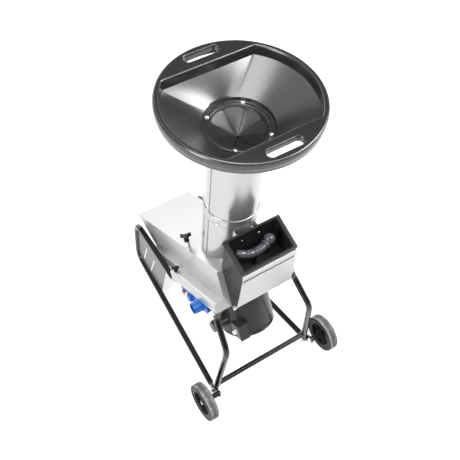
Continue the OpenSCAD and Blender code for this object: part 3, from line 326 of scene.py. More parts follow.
def gloss_plastic(name, base, roughness):
    """Bright moulded plastic with a hard skin."""
    finish = Finish(name)
    spot = finish.place()
    broad = finish.noise(spot, scale=30, detail=3)
    grain = finish.noise(spot, scale=700)
    return finish.surface(
        Base_Color=finish.mix(broad, shade(base, 0.9), shade(base, 1.1)),
        Roughness=roughness + (broad - 0.5) * 0.1,
        Normal=finish.bump(grain, strength=0.04, distance=0.0003),
    )


def sheet_paint(name, base, roughness, coat, metal=0.0, peel_depth=0.05, gloss=0.5):
    """Sprayed paint on sheet metal: orange peel, soft cloudiness and fine dust specks."""
    finish = Finish(name)
    spot = finish.place()
    cloud = finish.noise(spot, scale=5, detail=3)
    peel = finish.noise(spot, scale=260)
    speck = finish.ramp(finish.noise(spot, scale=520, detail=1), low=0.70, high=0.78)
    tone = finish.mix(cloud, shade(base, 0.95), shade(base, 1.04))
    tone = finish.mix(speck * 0.18, tone, shade(base, 0.72))
    return finish.surface(
        Base_Color=tone,
        Metallic=metal,
        Roughness=roughness + (cloud - 0.5) * 0.1,
        Specular_IOR_Level=gloss,
        Coat_Weight=coat,
        Coat_Roughness=0.07,
        Normal=finish.bump(peel, strength=peel_depth, distance=0.0006),
    )


def tyre_rubber(name, base, roughness, gloss=0.2):
    """Tyre rubber: a pale scuffed tread, darker along its middle, between dark side walls."""
    finish = Finish(name)
    spot = finish.place()
    bloom = finish.noise(spot, scale=42, detail=4, roughness=0.6)
    pores = finish.noise(spot, scale=650)
    x = finish.add("ShaderNodeSeparateXYZ", sockets={"Vector": spot}, output="X")
    from_middle = (x.math("ABSOLUTE") - middle("right_tyre").x).math("ABSOLUTE")
    across = from_middle * (2 / settings().frame.wheel_width)
    scuffed = finish.mix(finish.ramp(bloom, low=0.38, high=0.62), shade(base, 0.7), shade(base, 1.45))
    worn = finish.ramp(across + (bloom - 0.5) * 1.2, low=0.05, high=0.7)
    tread = finish.mix(worn, shade(base, 0.35), scuffed)
    return finish.surface(
        Base_Color=finish.mix(finish.ramp(across, low=0.87, high=0.93), tread, shade(base, 0.06)),
        Roughness=roughness + (bloom - 0.5) * 0.16,
        Specular_IOR_Level=gloss,
        Normal=finish.bump(pores, strength=0.12, distance=0.0005),
    )


def plated_metal(name, base, roughness):
    """Zinc plate: small crystals with changing gloss."""
    finish = Finish(name)
    spot = finish.place()
    crystal = finish.add("ShaderNodeTexVoronoi", sockets={"Vector": spot, "Scale": 420}, output="Color")
    return finish.surface(
        Base_Color=finish.mix(crystal, shade(base, 0.84), shade(base, 1.12)),
        Metallic=1.0,
        Roughness=roughness + (finish.noise(spot, scale=90) - 0.5) * 0.14,
    )


def machined_metal(name, base, roughness):
    """Ground or turned metal with fine drawn lines."""
    finish = Finish(name)
    lines = finish.noise(finish.place(stretch=(1, 1, 40)), scale=60, detail=3)
    return finish.surface(
        Base_Color=finish.mix(lines, shade(base, 0.85), shade(base, 1.1)),
        Metallic=1.0,
        Roughness=roughness + (lines - 0.5) * 0.2,
        Normal=finish.bump(lines, strength=0.05, distance=0.0003),
    )


FINISHES = {}


def make_finishes():
    """One finish for each material slot, and a smoother one for the rolled sheet of the chute."""
    own = {name: tuple(getattr(settings().colours, name)) for name in FinishColours.__annotations__}
    black, silver = own["moulding"], own["silver"]
    rolled = shade(silver, 0.93)
    FINISHES.update(
        funnel_plastic=moulded_plastic("Funnel moulding", black, 0.25, grain=0.02, gloss=0.95),
        rubber_black=moulded_plastic("Guard rubber", own["rubber"], 0.33, grain=0.03, gloss=0.45),
        zinc=plated_metal("Zinc plate", own["zinc"], 0.26),
        chute_sheet=sheet_paint("Chute sheet", rolled, 0.25, coat=0.1, metal=0.78, peel_depth=0.012),
        silver_paint=sheet_paint("Silver paint", silver, 0.34, coat=0.1, metal=0.56),
        black_plastic=moulded_plastic("Black plastic", black, 0.38, grain=0.05, gloss=0.16),
        grip_plastic=gloss_plastic("Grip plastic", own["grip"], 0.2),
        motor_paint=sheet_paint("Motor paint", own["motor"], 0.30, coat=0.25, gloss=0.25),
        cast_grey=machined_metal("Cast shield", own["cast"], 0.5),
        steel=machined_metal("Knife steel", own["steel"], 0.32),
        winding=gloss_plastic("Winding varnish", own["varnish"], 0.4),
        fan_plastic=moulded_plastic("Fan plastic", own["fan"], 0.5),
        white_plastic=gloss_plastic("Pale plastic", own["pale"], 0.3),
        blue_plastic=gloss_plastic("Switch blue", own["blue"], 0.24),
        red_plastic=gloss_plastic("Stop red", own["red"], 0.24),
        brass=machined_metal("Contact brass", own["brass"], 0.3),
        black_paint=sheet_paint("Frame paint", own["tube"], 0.12, coat=0.5, peel_depth=0.015, gloss=0.3),
        grey_paint=sheet_paint("Plate paint", own["plate"], 0.4, coat=0.15),
        tyre_grey=tyre_rubber("Tyre rubber", own["tyre"], 0.5),
    )


# Mesh building


def node_slot(node):
    for part in frame["record"]["subparts"]:
        if part["node"] == node:
            return part["material_slot"]
    raise ValueError(f"no sub-part named {node}")


def node_body(node):
    for body, members in frame["record"]["behaviour"]["bodies"].items():
        if node in members:
            return body
    raise ValueError(f"no body holds {node}")


def linked(name, data):
    """A new object in the scene, at the origin."""
    obj = bpy.data.objects.new(name, data)
    bpy.context.scene.collection.objects.link(obj)
    return obj


def look(node, mesh, finish=None):
    """Links a mesh in place of a CAD node, which it hides, under the node's body, with a named finish or its
    slot's.
    """
    slot = node_slot(node)
    mesh.materials.clear()
    mesh.materials.append(FINISHES[finish or slot])
    piece = linked(node + "_look", mesh)
    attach(piece, node_body(node))
    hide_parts(node)


def carry_over(*nodes):
    """CAD nodes that keep their shape and get the finish of their slot."""
    for node in nodes:
        materials = frame["nodes"][node].data.materials
        materials.clear()
        materials.append(FINISHES[node_slot(node)])


def smooth(mesh, crease):
    """Smooth shading up to the crease angle."""
    mesh.shade_smooth()
    mesh.set_sharp_from_angle(angle=math.radians(crease))
    return mesh


def filled(name, bm):
    """A plain mesh of a bmesh, which is used up."""
    mesh = bpy.data.meshes.new(name)
    bm.to_mesh(mesh)
    bm.free()
    return mesh


def to_mesh(name, bm, matrix=None, crease=CREASE):
    """A plain mesh with merged doubles, outward faces and smooth shading."""
    bmesh.ops.remove_doubles(bm, verts=bm.verts, dist=MERGE)
    bmesh.ops.recalc_face_normals(bm, faces=bm.faces)
    if matrix is not None:
        bm.transform(matrix)
    return smooth(filled(name, bm), crease)


def joined(*meshes, crease=CREASE):
    """One mesh of several, which are used up."""
    bm = bmesh.new()
    for mesh in meshes:
        bm.from_mesh(mesh)
        bpy.data.meshes.remove(mesh)
    return smooth(filled("joined", bm), crease)


def applied(base, *modifiers, tree=None, inputs=None, crease=CREASE):
    """Mesh of a mesh or curve, which is used up, after modifiers of (type, settings) and a node tree."""
    holder = linked("holder", base)
    for kind, values in modifiers:
        modifier = holder.modifiers.new(kind.lower(), kind)
        for key, value in values.items():
            setattr(modifier, key, value)
    if tree is not None:
        modifier = holder.modifiers.new("nodes", "NODES")
        modifier.node_group = tree
        for item in tree.interface.items_tree:
            if item.in_out == "INPUT" and item.name in inputs:
                modifier[item.identifier] = inputs[item.name]
    depsgraph = bpy.context.evaluated_depsgraph_get()
    result = bpy.data.meshes.new_from_object(holder.evaluated_get(depsgraph), depsgraph=depsgraph)
    bpy.data.objects.remove(holder)
    blocks = bpy.data.curves if isinstance(base, bpy.types.Curve) else bpy.data.meshes
    blocks.remove(base)
    return result if crease is None else smooth(result, crease)


def softened(node, width, segments=2, crease=SOFT_CREASE):
    """A copy of a CAD node with merged flat faces and rounded edges."""
    bm = bmesh.new()
    bm.from_mesh(frame["nodes"][node].data)
    bmesh.ops.remove_doubles(bm, verts=bm.verts, dist=FINE_MERGE)
    bmesh.ops.dissolve_limit(bm, angle_limit=math.radians(FLAT_ANGLE), verts=bm.verts, edges=bm.edges)
    mesh = filled(node + "_soft", bm)
    if "custom_normal" in mesh.attributes:
        mesh.attributes.remove(mesh.attributes["custom_normal"])
    bevel = {
        "width": width,
        "segments": segments,
        "limit_method": "ANGLE",
        "angle_limit": math.radians(crease),
        "miter_outer": "MITER_ARC",
    }
    return applied(mesh, ("BEVEL", bevel), crease=crease)


def soften(node, width, segments=2, crease=SOFT_CREASE):
    """Links a softened CAD node, with its flat faces shaded flat."""
    mesh = softened(node, width, segments, crease)
    look(node, applied(mesh, ("WEIGHTED_NORMAL", {"keep_sharp": True}), crease=None))


def cut_away(mesh, cutter, crease=SOFT_CREASE):
    """The mesh without the space of a cutter mesh; both are used up."""
    tool = linked("cutter", cutter)
    cut = {"object": tool, "operation": "DIFFERENCE", "solver": "EXACT"}
    mesh = applied(mesh, ("BOOLEAN", cut), crease=crease)
    bpy.data.objects.remove(tool)
    bpy.data.meshes.remove(cutter)
    return mesh


def around(angle, radius, z=0.0):
    return (radius * math.cos(angle), radius * math.sin(angle), z)


def point_rows(bm, rows):
    return [[bm.verts.new(p) for p in row] for row in rows]


def grid_faces(bm, rows, closed_rows=False, closed_columns=True):
    """Quads between rows of vertices."""
    count = len(rows[0])
    for i in range(len(rows) if closed_rows else len(rows) - 1):
        a, b = rows[i], rows[(i + 1) % len(rows)]
        for j in range(count if closed_columns else count - 1):
            k = (j + 1) % count
            bm.faces.new((a[j], a[k], b[k], b[j]))


def ring_stack(rows):
    """Bmesh of closed rows of points, the last joined to the first."""
    bm = bmesh.new()
    grid_faces(bm, point_rows(bm, rows), closed_rows=True)
    return bm


def capped_stack(rows):
    """Bmesh of closed rows of points with a lid on the first and the last."""
    bm = bmesh.new()
    rows = point_rows(bm, rows)
    grid_faces(bm, rows)
    bm.faces.new(rows[0])
    bm.faces.new(rows[-1])
    return bm


def lathe(profile, segments=ROUND):
    """Bmesh of a closed profile of (radius, height) turned about Z."""
    turns = [TURN * i / segments for i in range(segments)]
    return ring_stack([[around(a, r, z) for a in turns] for r, z in profile])


def prism(outline, low, high):
    """Bmesh of an outline of (x, y) drawn from one height to another."""
    return capped_stack([[(x, y, z) for x, y in outline] for z in (low, high)])


def box(low, high):
    """Bmesh of an upright box between two corners."""
    bm = bmesh.new()
    bmesh.ops.create_cube(bm, size=1)
    for v in bm.verts:
        v.co = [lo + (c + 0.5) * (hi - lo) for lo, hi, c in zip(low, high, v.co)]
    return bm


def rounded(corners, radius, steps=4, longest=0.45):
    """A closed profile with rounded corners, each (x, y) or (x, y, own radius)."""
    out = []
    for i, corner in enumerate(corners):
        here = Vector(corner[:2])
        a = Vector(corners[i - 1][:2]) - here
        b = Vector(corners[(i + 1) % len(corners)][:2]) - here
        r = min(corner[2] if len(corner) > 2 else radius, longest * min(a.length, b.length))
        if r < FINE_MERGE:
            out.append(tuple(here))
            continue
        start, end = here + a.normalized() * r, here + b.normalized() * r
        for k in range(steps + 1):
            t = k / steps
            out.append(tuple((1 - t) ** 2 * start + 2 * t * (1 - t) * here + t * t * end))
    return out


# Geometry node trees


class PieceTree(NodeWriter):
    """A geometry tree with a shape input, the named inputs and a finish input."""

    def __init__(self, name, **inputs):
        super().__init__(bpy.data.node_groups.new(name, "GeometryNodeTree"))
        sockets = self.tree.interface
        sockets.new_socket("Geometry", in_out="INPUT", socket_type="NodeSocketGeometry")
        for label, (kind, default) in inputs.items():
            socket = sockets.new_socket(label.replace("_", " "), in_out="INPUT", socket_type=kind)
            socket.default_value = default
        sockets.new_socket("Finish", in_out="INPUT", socket_type="NodeSocketMaterial")
        sockets.new_socket("Geometry", in_out="OUTPUT", socket_type="NodeSocketGeometry")

    def given(self, label):
        return self.add("NodeGroupInput", output=label)

    def close(self, shape):
        """Ends the tree in Realize Instances and Set Material."""
        real = self.add("GeometryNodeRealizeInstances", sockets={"Geometry": shape})
        sockets = {"Geometry": real, "Material": self.given("Finish")}
        painted = self.add("GeometryNodeSetMaterial", sockets=sockets)
        self.add("NodeGroupOutput", sockets={"Geometry": painted})
        return self.tree


def radial_tree():
    """Repeats the input shape evenly about Z."""
    tree = PieceTree("Repeat about the axis", Count=("NodeSocketInt", 8))
    count = tree.given("Count")
    points = tree.add("GeometryNodePoints", sockets={"Count": count})
    angle = tree.add("GeometryNodeInputIndex") * (TURN / count)
    turn = tree.add("ShaderNodeCombineXYZ", sockets={"Z": angle})
    rotation = tree.add("FunctionNodeEulerToRotation", sockets={0: turn})
    sockets = {"Points": points, "Instance": tree.given("Geometry"), "Rotation": rotation}
    return tree.close(tree.add("GeometryNodeInstanceOnPoints", sockets=sockets))


def tube_tree():
    """Sweeps a round section along the input curve."""
    tree = PieceTree("Tube along a path", Radius=("NodeSocketFloat", 0.0125), Sides=("NodeSocketInt", 32))
    sockets = {"Radius": tree.given("Radius"), "Resolution": tree.given("Sides")}
    ring = tree.add("GeometryNodeCurvePrimitiveCircle", sockets=sockets)
    sockets = {"Curve": tree.given("Geometry"), "Profile Curve": ring}
    return tree.close(tree.add("GeometryNodeCurveToMesh", sockets=sockets))


def bolt_tree():
    """A washer and a domed head on each input point, turned to the point's aim attribute."""
    tree = PieceTree(
        "Domed bolts",
        Washer_Radius=("NodeSocketFloat", 0.009),
        Washer_Height=("NodeSocketFloat", 0.002),
        Head_Radius=("NodeSocketFloat", 0.007),
        Head_Height=("NodeSocketFloat", 0.005),
    )
    height, head = tree.given("Washer Height"), tree.given("Head Radius")
    lift = tree.add("ShaderNodeCombineXYZ", sockets={"Z": height * 0.5})
    sockets = {"Vertices": 32, "Radius": tree.given("Washer Radius"), "Depth": height}
    washer = tree.add("GeometryNodeMeshCylinder", sockets=sockets)
    washer = tree.add("GeometryNodeTransform", sockets={"Geometry": washer, "Translation": lift})
    size = tree.add("ShaderNodeCombineXYZ", sockets={"X": head, "Y": head, "Z": tree.given("Head Height")})
    dome = tree.add("GeometryNodeMeshUVSphere", sockets={"Segments": 24, "Rings": 12, "Radius": 1})
    dome = tree.add("GeometryNodeTransform", sockets={"Geometry": dome, "Scale": size, "Translation": lift})
    both = tree.add("GeometryNodeJoinGeometry", sockets={0: [washer, dome]})
    aim = tree.add("GeometryNodeInputNamedAttribute", {"data_type": "FLOAT_VECTOR"}, {"Name": "aim"})
    rotation = tree.add("FunctionNodeAlignRotationToVector", {"axis": "Z"}, {"Vector": aim})
    sockets = {"Points": tree.given("Geometry"), "Instance": both, "Rotation": rotation}
    return tree.close(tree.add("GeometryNodeInstanceOnPoints", sockets=sockets))


TREES = {}


def make_trees():
    TREES.update(radial=radial_tree(), tube=tube_tree(), bolt=bolt_tree())


def grown(tree, base, slot, crease=CREASE, **inputs):
    """Mesh that a geometry tree makes of a base mesh or curve, with its named inputs and a slot's finish."""
    values = {label.replace("_", " "): value for label, value in inputs.items()}
    return applied(base, tree=TREES[tree], inputs={**values, "Finish": FINISHES[slot]}, crease=crease)


def bolts_at(node, marks, **sizes):
    """Links domed bolts at marks, each (place, outward direction)."""
    mesh = bpy.data.meshes.new(node)
    mesh.from_pydata([p for p, _ in marks], [], [])
    aim = mesh.attributes.new("aim", "FLOAT_VECTOR", "POINT")
    aim.data.foreach_set("vector", [x for _, d in marks for x in d])
    look(node, grown("bolt", mesh, node_slot(node), **sizes))


def swept_tube(node, points, radius, closed=False):
    """Mesh of a round tube through points, with the finish of a node's slot."""
    curve = bpy.data.curves.new(node, "CURVE")
    curve.dimensions = "3D"
    spline = curve.splines.new("POLY")
    spline.points.add(len(points) - 1)
    spline.use_cyclic_u = closed
    for mark, p in zip(spline.points, points):
        mark.co = (*p, 1)
    return grown("tube", curve, node_slot(node), Radius=radius, Sides=32)


# Feed funnel

FUNNEL_CREASE = 28
SKIRT_DRAFT = 0.004
# From the skirt up over the rim: (distance inside the rim radius, height)
RIM_SECTION = (
    (0.0032, -0.026), (0.0012, -0.0225), (0, -0.021), (0, -0.008),
    (0.001, -0.0045), (0.0032, -0.0016), (0.006, -0.0003), (0.0085, 0.0),
)
BOWL_EDGE = 0.008
# Rounded edge of the bowl: (outward, upward) in shares of its radius
BOWL_EDGE_SECTION = ((1.0, 0.0), (0.62, -0.07), (0.29, -0.29), (0.07, -0.62), (0.0, -1.0))
WALL_FILLET = 0.002
THROAT_LIP = 0.010
# Lower end of the cone: (distance inside the throat radius, height above the throat)
THROAT_SECTION = ((0.002, 0.0045), (0.003, -0.004))
SLOT_LIP, SLOT_LIP_OVERLAP = 0.0045, 0.0002
SLOT_CUT = (-0.06, 0.03)
# Lip and wall of a hand slot: (share of the lip, height)
SLOT_SECTION = (
    (1.0, 0.0), (0.6, -0.0003), (0.28, -0.0014), (0.08, -0.003),
    (0.0, -0.005), (0.0, -0.0215), (0.7, -0.0215), (1.0, -0.004),
)


def direction(angle):
    return Vector((math.cos(angle), math.sin(angle)))


def bowl_columns(size, arc_steps=48, flat_steps=36):
    """Columns of the cone from cut circle to round throat: (bowl edge, outward direction, throat point)."""
    corner = math.asin(size.flat / size.bowl_radius)
    half = math.sqrt(size.bowl_radius**2 - size.flat**2)
    spread = math.radians(size.flat_spread)
    columns = []
    for side in (1, -1):
        for i in range(arc_steps + 1):
            t = 2 * i / arc_steps - 1
            edge = side * direction(corner * t) * size.bowl_radius
            throat = side * direction((math.pi / 2 - spread) * t) * size.throat_radius
            columns.append((edge, edge.normalized(), throat))
        for i in range(1, flat_steps):
            t = 1 - 2 * i / flat_steps
            edge = Vector((side * half * t, side * size.flat))
            throat = side * direction(math.pi / 2 - spread * t) * size.throat_radius
            columns.append((edge, Vector((0, side)), throat))
    return columns


def funnel_sheet(size, cone_steps=20):
    """Upper skin of the funnel, from the skirt's lower edge over the rim and down the cone to the throat."""
    columns = bowl_columns(size)
    outward = [edge.normalized() for edge, _, _ in columns]
    rows = []
    for inset, z in ((SKIRT_DRAFT, -size.skirt), *RIM_SECTION):
        r = size.rim_radius - inset
        rows.append([(d.x * r, d.y * r, z) for d in outward])
    for share, drop in BOWL_EDGE_SECTION:
        out = BOWL_EDGE * share
        rows.append([(edge.x + n.x * out, edge.y + n.y * out, BOWL_EDGE * drop) for edge, n, _ in columns])
    for z in (-0.5 * size.wall_depth, -size.wall_depth + WALL_FILLET, -size.wall_depth):
        rows.append([(edge.x, edge.y, z) for edge, _, _ in columns])
    for i in range(1, cone_steps + 1):
        t = i / cone_steps
        z = -size.wall_depth - (size.throat_drop - THROAT_LIP - size.wall_depth) * t
        rows.append([(e.x + (p.x - e.x) * t, e.y + (p.y - e.y) * t, z) for e, _, p in columns])
    for inset, lift in THROAT_SECTION:
        r = size.throat_radius - inset
        z = -size.throat_drop + lift
        rows.append([(p.x * r / size.throat_radius, p.y * r / size.throat_radius, z) for _, _, p in columns])
    bm = bmesh.new()
    grid_faces(bm, point_rows(bm, rows))
    bmesh.ops.remove_doubles(bm, verts=bm.verts, dist=FINE_MERGE)
    bmesh.ops.recalc_face_normals(bm, faces=bm.faces)
    if sum(f.normal.z for f in bm.faces) < 0:
        bmesh.ops.reverse_faces(bm, faces=bm.faces)
    return filled("funnel_sheet", bm)


def slot_outline(size, grow, steps=16):
    """Outline of a hand slot, a long hole with round ends about the origin, grown on all sides."""
    width = size.slot_width + 2 * grow
    straight = (size.slot_length + 2 * grow - width) / 2
    out = []
    for side in (1, -1):
        for i in range(steps + 1):
            a = -math.pi / 2 + math.pi * i / steps
            out.append((side * (straight + width / 2 * math.cos(a)), side * width / 2 * math.sin(a)))
    return out


def slot_collar(size):
    """Rounded lip and wall of a hand slot."""
    rows = []
    for share, z in SLOT_SECTION:
        rows.append([(x, y, z) for x, y in slot_outline(size, share * SLOT_LIP)])
    return ring_stack(rows)


class SHREDDER_OT_funnel(bpy.types.Operator):
    """Build the moulded feed funnel with its hand slots"""

    bl_idname = "shredder.funnel"
    bl_label = "Feed funnel"

    def execute(self, context):
        size = settings().funnel
        wall = {"thickness": size.shell, "offset": -1, "use_even_offset": False}
        shell = applied(funnel_sheet(size), ("SOLIDIFY", wall), crease=FUNNEL_CREASE)
        hole = slot_outline(size, SLOT_LIP - SLOT_LIP_OVERLAP)
        collars = []
        for side in (-1, 1):
            place = Matrix.Translation((0, side * size.slot_distance, 0))
            shell = cut_away(shell, to_mesh("slot_cutter", prism(hole, *SLOT_CUT), place), FUNNEL_CREASE)
            collars.append(to_mesh("slot_collar", slot_collar(size), place))
        mesh = joined(shell, *collars, crease=FUNNEL_CREASE)
        mesh.transform(Matrix.Translation((0, CHUTE_Y, RIM_Z)))
        look("funnel", mesh)
        return {"FINISHED"}


# Throat ring and splash guard

RING_HOLE, RING_FOOT = 0.095, 0.0002
GROOVE_NEAR, GROOVE_FAR, GROOVE_SLOPE, GROOVE_DEPTH = 0.006, 0.0095, 0.001, 0.0006
# Sloped inner edge of the ring: (distance from its hole, depth)
RING_INNER_EDGE = ((0.004, 0.0), (0.003, 0.0008), (0.0, 0.0012))
FLAP_ROOT, FLAP_TIP, FLAP_WALL = 0.0935, 0.003, 0.0026
FLAP_BELOW_RIM, FLAP_BULGE, FLAP_HALF_GAP = 0.0012, 0.0025, 0.0008
COLLAR_HOLE, COLLAR_CHAMFER, COLLAR_WALL, COLLAR_MARGIN = 0.0905, (0.0915, 0.0008), 0.003, 0.001
GUARD_CREASE = 50


def throat_ring(low_z, high_z, outer):
    """Bmesh of the clamp ring, with a groove near its outer edge and a sloped inner edge."""
    foot, floor = low_z + RING_FOOT, high_z - GROOVE_DEPTH
    section = [
        (RING_HOLE, foot), (outer, foot), (outer, high_z),
        (outer - GROOVE_NEAR, high_z), (outer - GROOVE_NEAR - GROOVE_SLOPE, floor),
        (outer - GROOVE_FAR + GROOVE_SLOPE, floor), (outer - GROOVE_FAR, high_z),
    ]
    section += [(RING_HOLE + out, high_z - drop) for out, drop in RING_INNER_EDGE]
    return lathe(rounded(section, radius=0.0006, steps=3))


def guard_flap(size, top, steps=14, across=10):
    """Bmesh of one hanging rubber flap, a sector that sags from its root to a blunt tip."""
    half = math.pi / size.flaps
    bm = bmesh.new()
    skins = []
    for drop in (0.0, -FLAP_WALL):
        rows = []
        for i in range(steps + 1):
            a = FLAP_TIP + (FLAP_ROOT - FLAP_TIP) * i / steps
            share = a / FLAP_ROOT
            row = []
            for j in range(across + 1):
                s = -1 + 2 * j / across
                spread = s * (half - math.asin(FLAP_HALF_GAP / a))
                r = min(a / math.cos(spread), FLAP_ROOT)
                bulge = FLAP_BULGE * math.sin(math.pi * share) * (1 - 0.5 * s * s)
                sag = size.flap_drop * (1 - share) + bulge
                row.append(around(spread, r, top - FLAP_BELOW_RIM - sag + drop))
            rows.append(row)
        skins.append(point_rows(bm, rows))
        grid_faces(bm, skins[-1], closed_columns=False)
    ends = [[skin[k] for skin in skins] for k in (0, -1)]
    sides = [[[row[k] for row in skin] for skin in skins] for k in (0, -1)]
    for pair in ends + sides:
        grid_faces(bm, pair, closed_columns=False)
    bmesh.ops.rotate(bm, verts=bm.verts, cent=(0, 0, 0), matrix=Matrix.Rotation(half, 3, "Z"))
    return bm


class SHREDDER_OT_splash_guard(bpy.types.Operator):
    """Build the throat ring and the rubber flaps"""

    bl_idname = "shredder.splash_guard"
    bl_label = "Splash guard"

    def execute(self, context):
        size = settings().funnel
        low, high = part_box("throat_ring")
        outer = (high.x - low.x) / 2
        look("throat_ring", to_mesh("throat_ring", throat_ring(low.z, high.z, outer), FROM_CHUTE))

        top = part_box("splash_guard")[1].z
        flap = to_mesh("guard_flap", guard_flap(size, top), crease=GUARD_CREASE)
        flaps = grown("radial", flap, node_slot("splash_guard"), GUARD_CREASE, Count=size.flaps)
        edge, chamfer = COLLAR_CHAMFER
        section = [
            (COLLAR_HOLE, top - COLLAR_WALL), (outer - COLLAR_MARGIN, top - COLLAR_WALL),
            (outer - COLLAR_MARGIN, top), (FLAP_ROOT, top), (edge, top - chamfer),
        ]
        mesh = joined(flaps, to_mesh("guard_collar", lathe(section)), crease=GUARD_CREASE)
        mesh.transform(FROM_CHUTE)
        look("splash_guard", mesh)
        return {"FINISHED"}


# Bolts of throat and chute

THROAT_BOLT_ANGLES = (50, 130, 230, 310)
THROAT_BOLT_R, THROAT_BOLT_SUNK = 0.107, 0.0002
THROAT_BOLT = dict(Washer_Radius=0.0088, Washer_Height=0.0020, Head_Radius=0.0072, Head_Height=0.0052)
CHUTE_BOLT_R = 0.1018
# Angle in degrees and height of each chute bolt
CHUTE_BOLTS = (
    (0, 0.848), (180, 0.848), (0, 0.606), (180, 0.606), (-29, 0.78575), (-151, 0.78575), (90, 0.78575),
)
CHUTE_BOLT = dict(Washer_Radius=0.0066, Washer_Height=0.0014, Head_Radius=0.0054, Head_Height=0.0042)


class SHREDDER_OT_bolts(bpy.types.Operator):
    """Build the domed bolts of throat and chute"""

    bl_idname = "shredder.bolts"
    bl_label = "Bolts"

    def execute(self, context):
        seat = Vector((0, CHUTE_Y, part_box("throat_ring")[1].z - THROAT_BOLT_SUNK))
        marks = []
        for angle in THROAT_BOLT_ANGLES:
            out = Vector(around(math.radians(angle), 1))
            marks.append((out * THROAT_BOLT_R + seat, Vector((0, 0, 1))))
        bolts_at("throat_bolts", marks, **THROAT_BOLT)

        marks = []
        for angle, z in CHUTE_BOLTS:
            out = Vector(around(math.radians(angle), 1))
            marks.append((out * CHUTE_BOLT_R + Vector((0, CHUTE_Y, z)), out))
        bolts_at("chute_bolts", marks, **CHUTE_BOLT)
        return {"FINISHED"}


# Chute

CHUTE_R, CHUTE_WALL, CHUTE_CREASE = 0.1, 0.002, 40
FLANGE_HOLE = 0.0985
STUB_LIFT = 0.006
SEAM_R, SEAM_WIDTH, SEAM_STEPS = 0.0995, 0.014, 6
SEAM_PROUD, SEAM_LOW_EDGE = 0.0028, 0.00252
SEAM_CLEAR, SEAM_BELOW_FLANGE, STUB_SEAM_FOOT = 0.0003, 0.060, 0.5468
# Beads of the joint band: (radius, height above its foot) and (radius, depth below its head)
LOW_BEAD = ((0.1001, 0.0), (0.1034, 0.0), (0.1034, 0.006), (0.1016, 0.009))
HIGH_BEAD = ((0.1016, 0.014), (0.1030, 0.011), (0.1030, 0.002), (0.1001, 0.0))


def tube_shell(bottom, top):
    """Bmesh of a chute length whose lower end follows a height for each y."""
    rows = []
    for r, upper in ((CHUTE_R - CHUTE_WALL, 0), (CHUTE_R, 0), (CHUTE_R, 1), (CHUTE_R - CHUTE_WALL, 1)):
        ring = [around(TURN * i / ROUND, r) for i in range(ROUND)]
        rows.append([(x, y, top if upper else bottom(y)) for x, y, _ in ring])
    return ring_stack(rows)


def seam_strips(low, high):
    """Laps of the rolled sheet on both sides, each with one edge a little lower."""
    heights = [SEAM_LOW_EDGE] + [SEAM_PROUD] * SEAM_STEPS
    strips = []
    for middle_angle in (0, math.pi):
        turns = [middle_angle + (i / SEAM_STEPS - 0.5) * SEAM_WIDTH / SEAM_R for i in range(SEAM_STEPS + 1)]
        outline = [around(a, CHUTE_R + h)[:2] for a, h in zip(turns, heights)]
        outline += [around(a, SEAM_R)[:2] for a in reversed(turns)]
        strips.append(to_mesh("seam", prism(outline, low, high)))
    return strips


class SHREDDER_OT_chute(bpy.types.Operator):
    """Build the two chute lengths, their seams and the joint band"""

    bl_idname = "shredder.chute"
    bl_label = "Chute"

    def execute(self, context):
        foot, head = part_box("joint_band")
        low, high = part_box("upper_chute")
        rim, under = (high.x - low.x) / 2, high.z - CHUTE_WALL
        tube = to_mesh("upper_tube", tube_shell(lambda y: low.z, high.z))
        section = [(FLANGE_HOLE, under), (rim, under), (rim, high.z), (FLANGE_HOLE, high.z)]
        flange = to_mesh("upper_flange", lathe(section))
        seams = seam_strips(head.z + SEAM_CLEAR, high.z - SEAM_BELOW_FLANGE)
        upper = joined(tube, flange, *seams, crease=CHUTE_CREASE)

        slope, lift = math.tan(DECK_SLOPE), STUB_LIFT / math.cos(DECK_SLOPE)
        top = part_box("chute_stub")[1].z
        tube = to_mesh("stub_tube", tube_shell(lambda y: DECK_Z + lift - y * slope, top))
        stub = joined(tube, *seam_strips(STUB_SEAM_FOOT, foot.z - SEAM_CLEAR), crease=CHUTE_CREASE)

        section = [(r, foot.z + rise) for r, rise in LOW_BEAD]
        section += [(r, head.z - drop) for r, drop in HIGH_BEAD]
        band = to_mesh("joint_band", lathe(rounded(section, radius=0.0016)))
        for node, mesh in (("upper_chute", upper), ("chute_stub", stub), ("joint_band", band)):
            mesh.transform(FROM_CHUTE)
            look(node, mesh, "chute_sheet")
        return {"FINISHED"}


# Cover, deck and front panel

PANEL_CREASE, PANEL_CREASE_Z = 4, 0.706
PANEL_LIP, PANEL_GAP, PANEL_GAP_DEPTH, PANEL_LAP = 0.0012, 0.0034, 0.010, 0.026
CUT_X, CUT_Y = 0.001, 0.002


def lapped_panel():
    """Front panel whose lower sheet stands in front of the upper one, with an open gap at the crease."""
    low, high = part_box("front_panel")
    mesh = softened("front_panel", 0.0012, crease=PANEL_CREASE)
    back = low.y + PANEL_LIP + PANEL_GAP
    for front, bottom in ((low.y - CUT_Y, 0), (low.y + PANEL_LIP, -PANEL_GAP_DEPTH)):
        near = (low.x - CUT_X, front, PANEL_CREASE_Z + bottom)
        far = (high.x + CUT_X, back, PANEL_CREASE_Z + PANEL_LAP)
        mesh = cut_away(mesh, to_mesh("panel_cut", box(near, far)), PANEL_CREASE)
    return mesh


class SHREDDER_OT_cover(bpy.types.Operator):
    """Round the folded edges of cover, deck, bracket and knob, and lap the front panel"""

    bl_idname = "shredder.cover"
    bl_label = "Cover and deck"

    def execute(self, context):
        soften("knife_cover", 0.0009)
        soften("knife_deck", 0.0016)
        look("front_panel", lapped_panel())
        soften("hopper_bracket", 0.0006)
        soften("cover_knob", 0.0012, segments=3)
        soften("knob_spacer", 0.0006)
        return {"FINISHED"}


# Branch hopper and pusher, with places from the chute axis

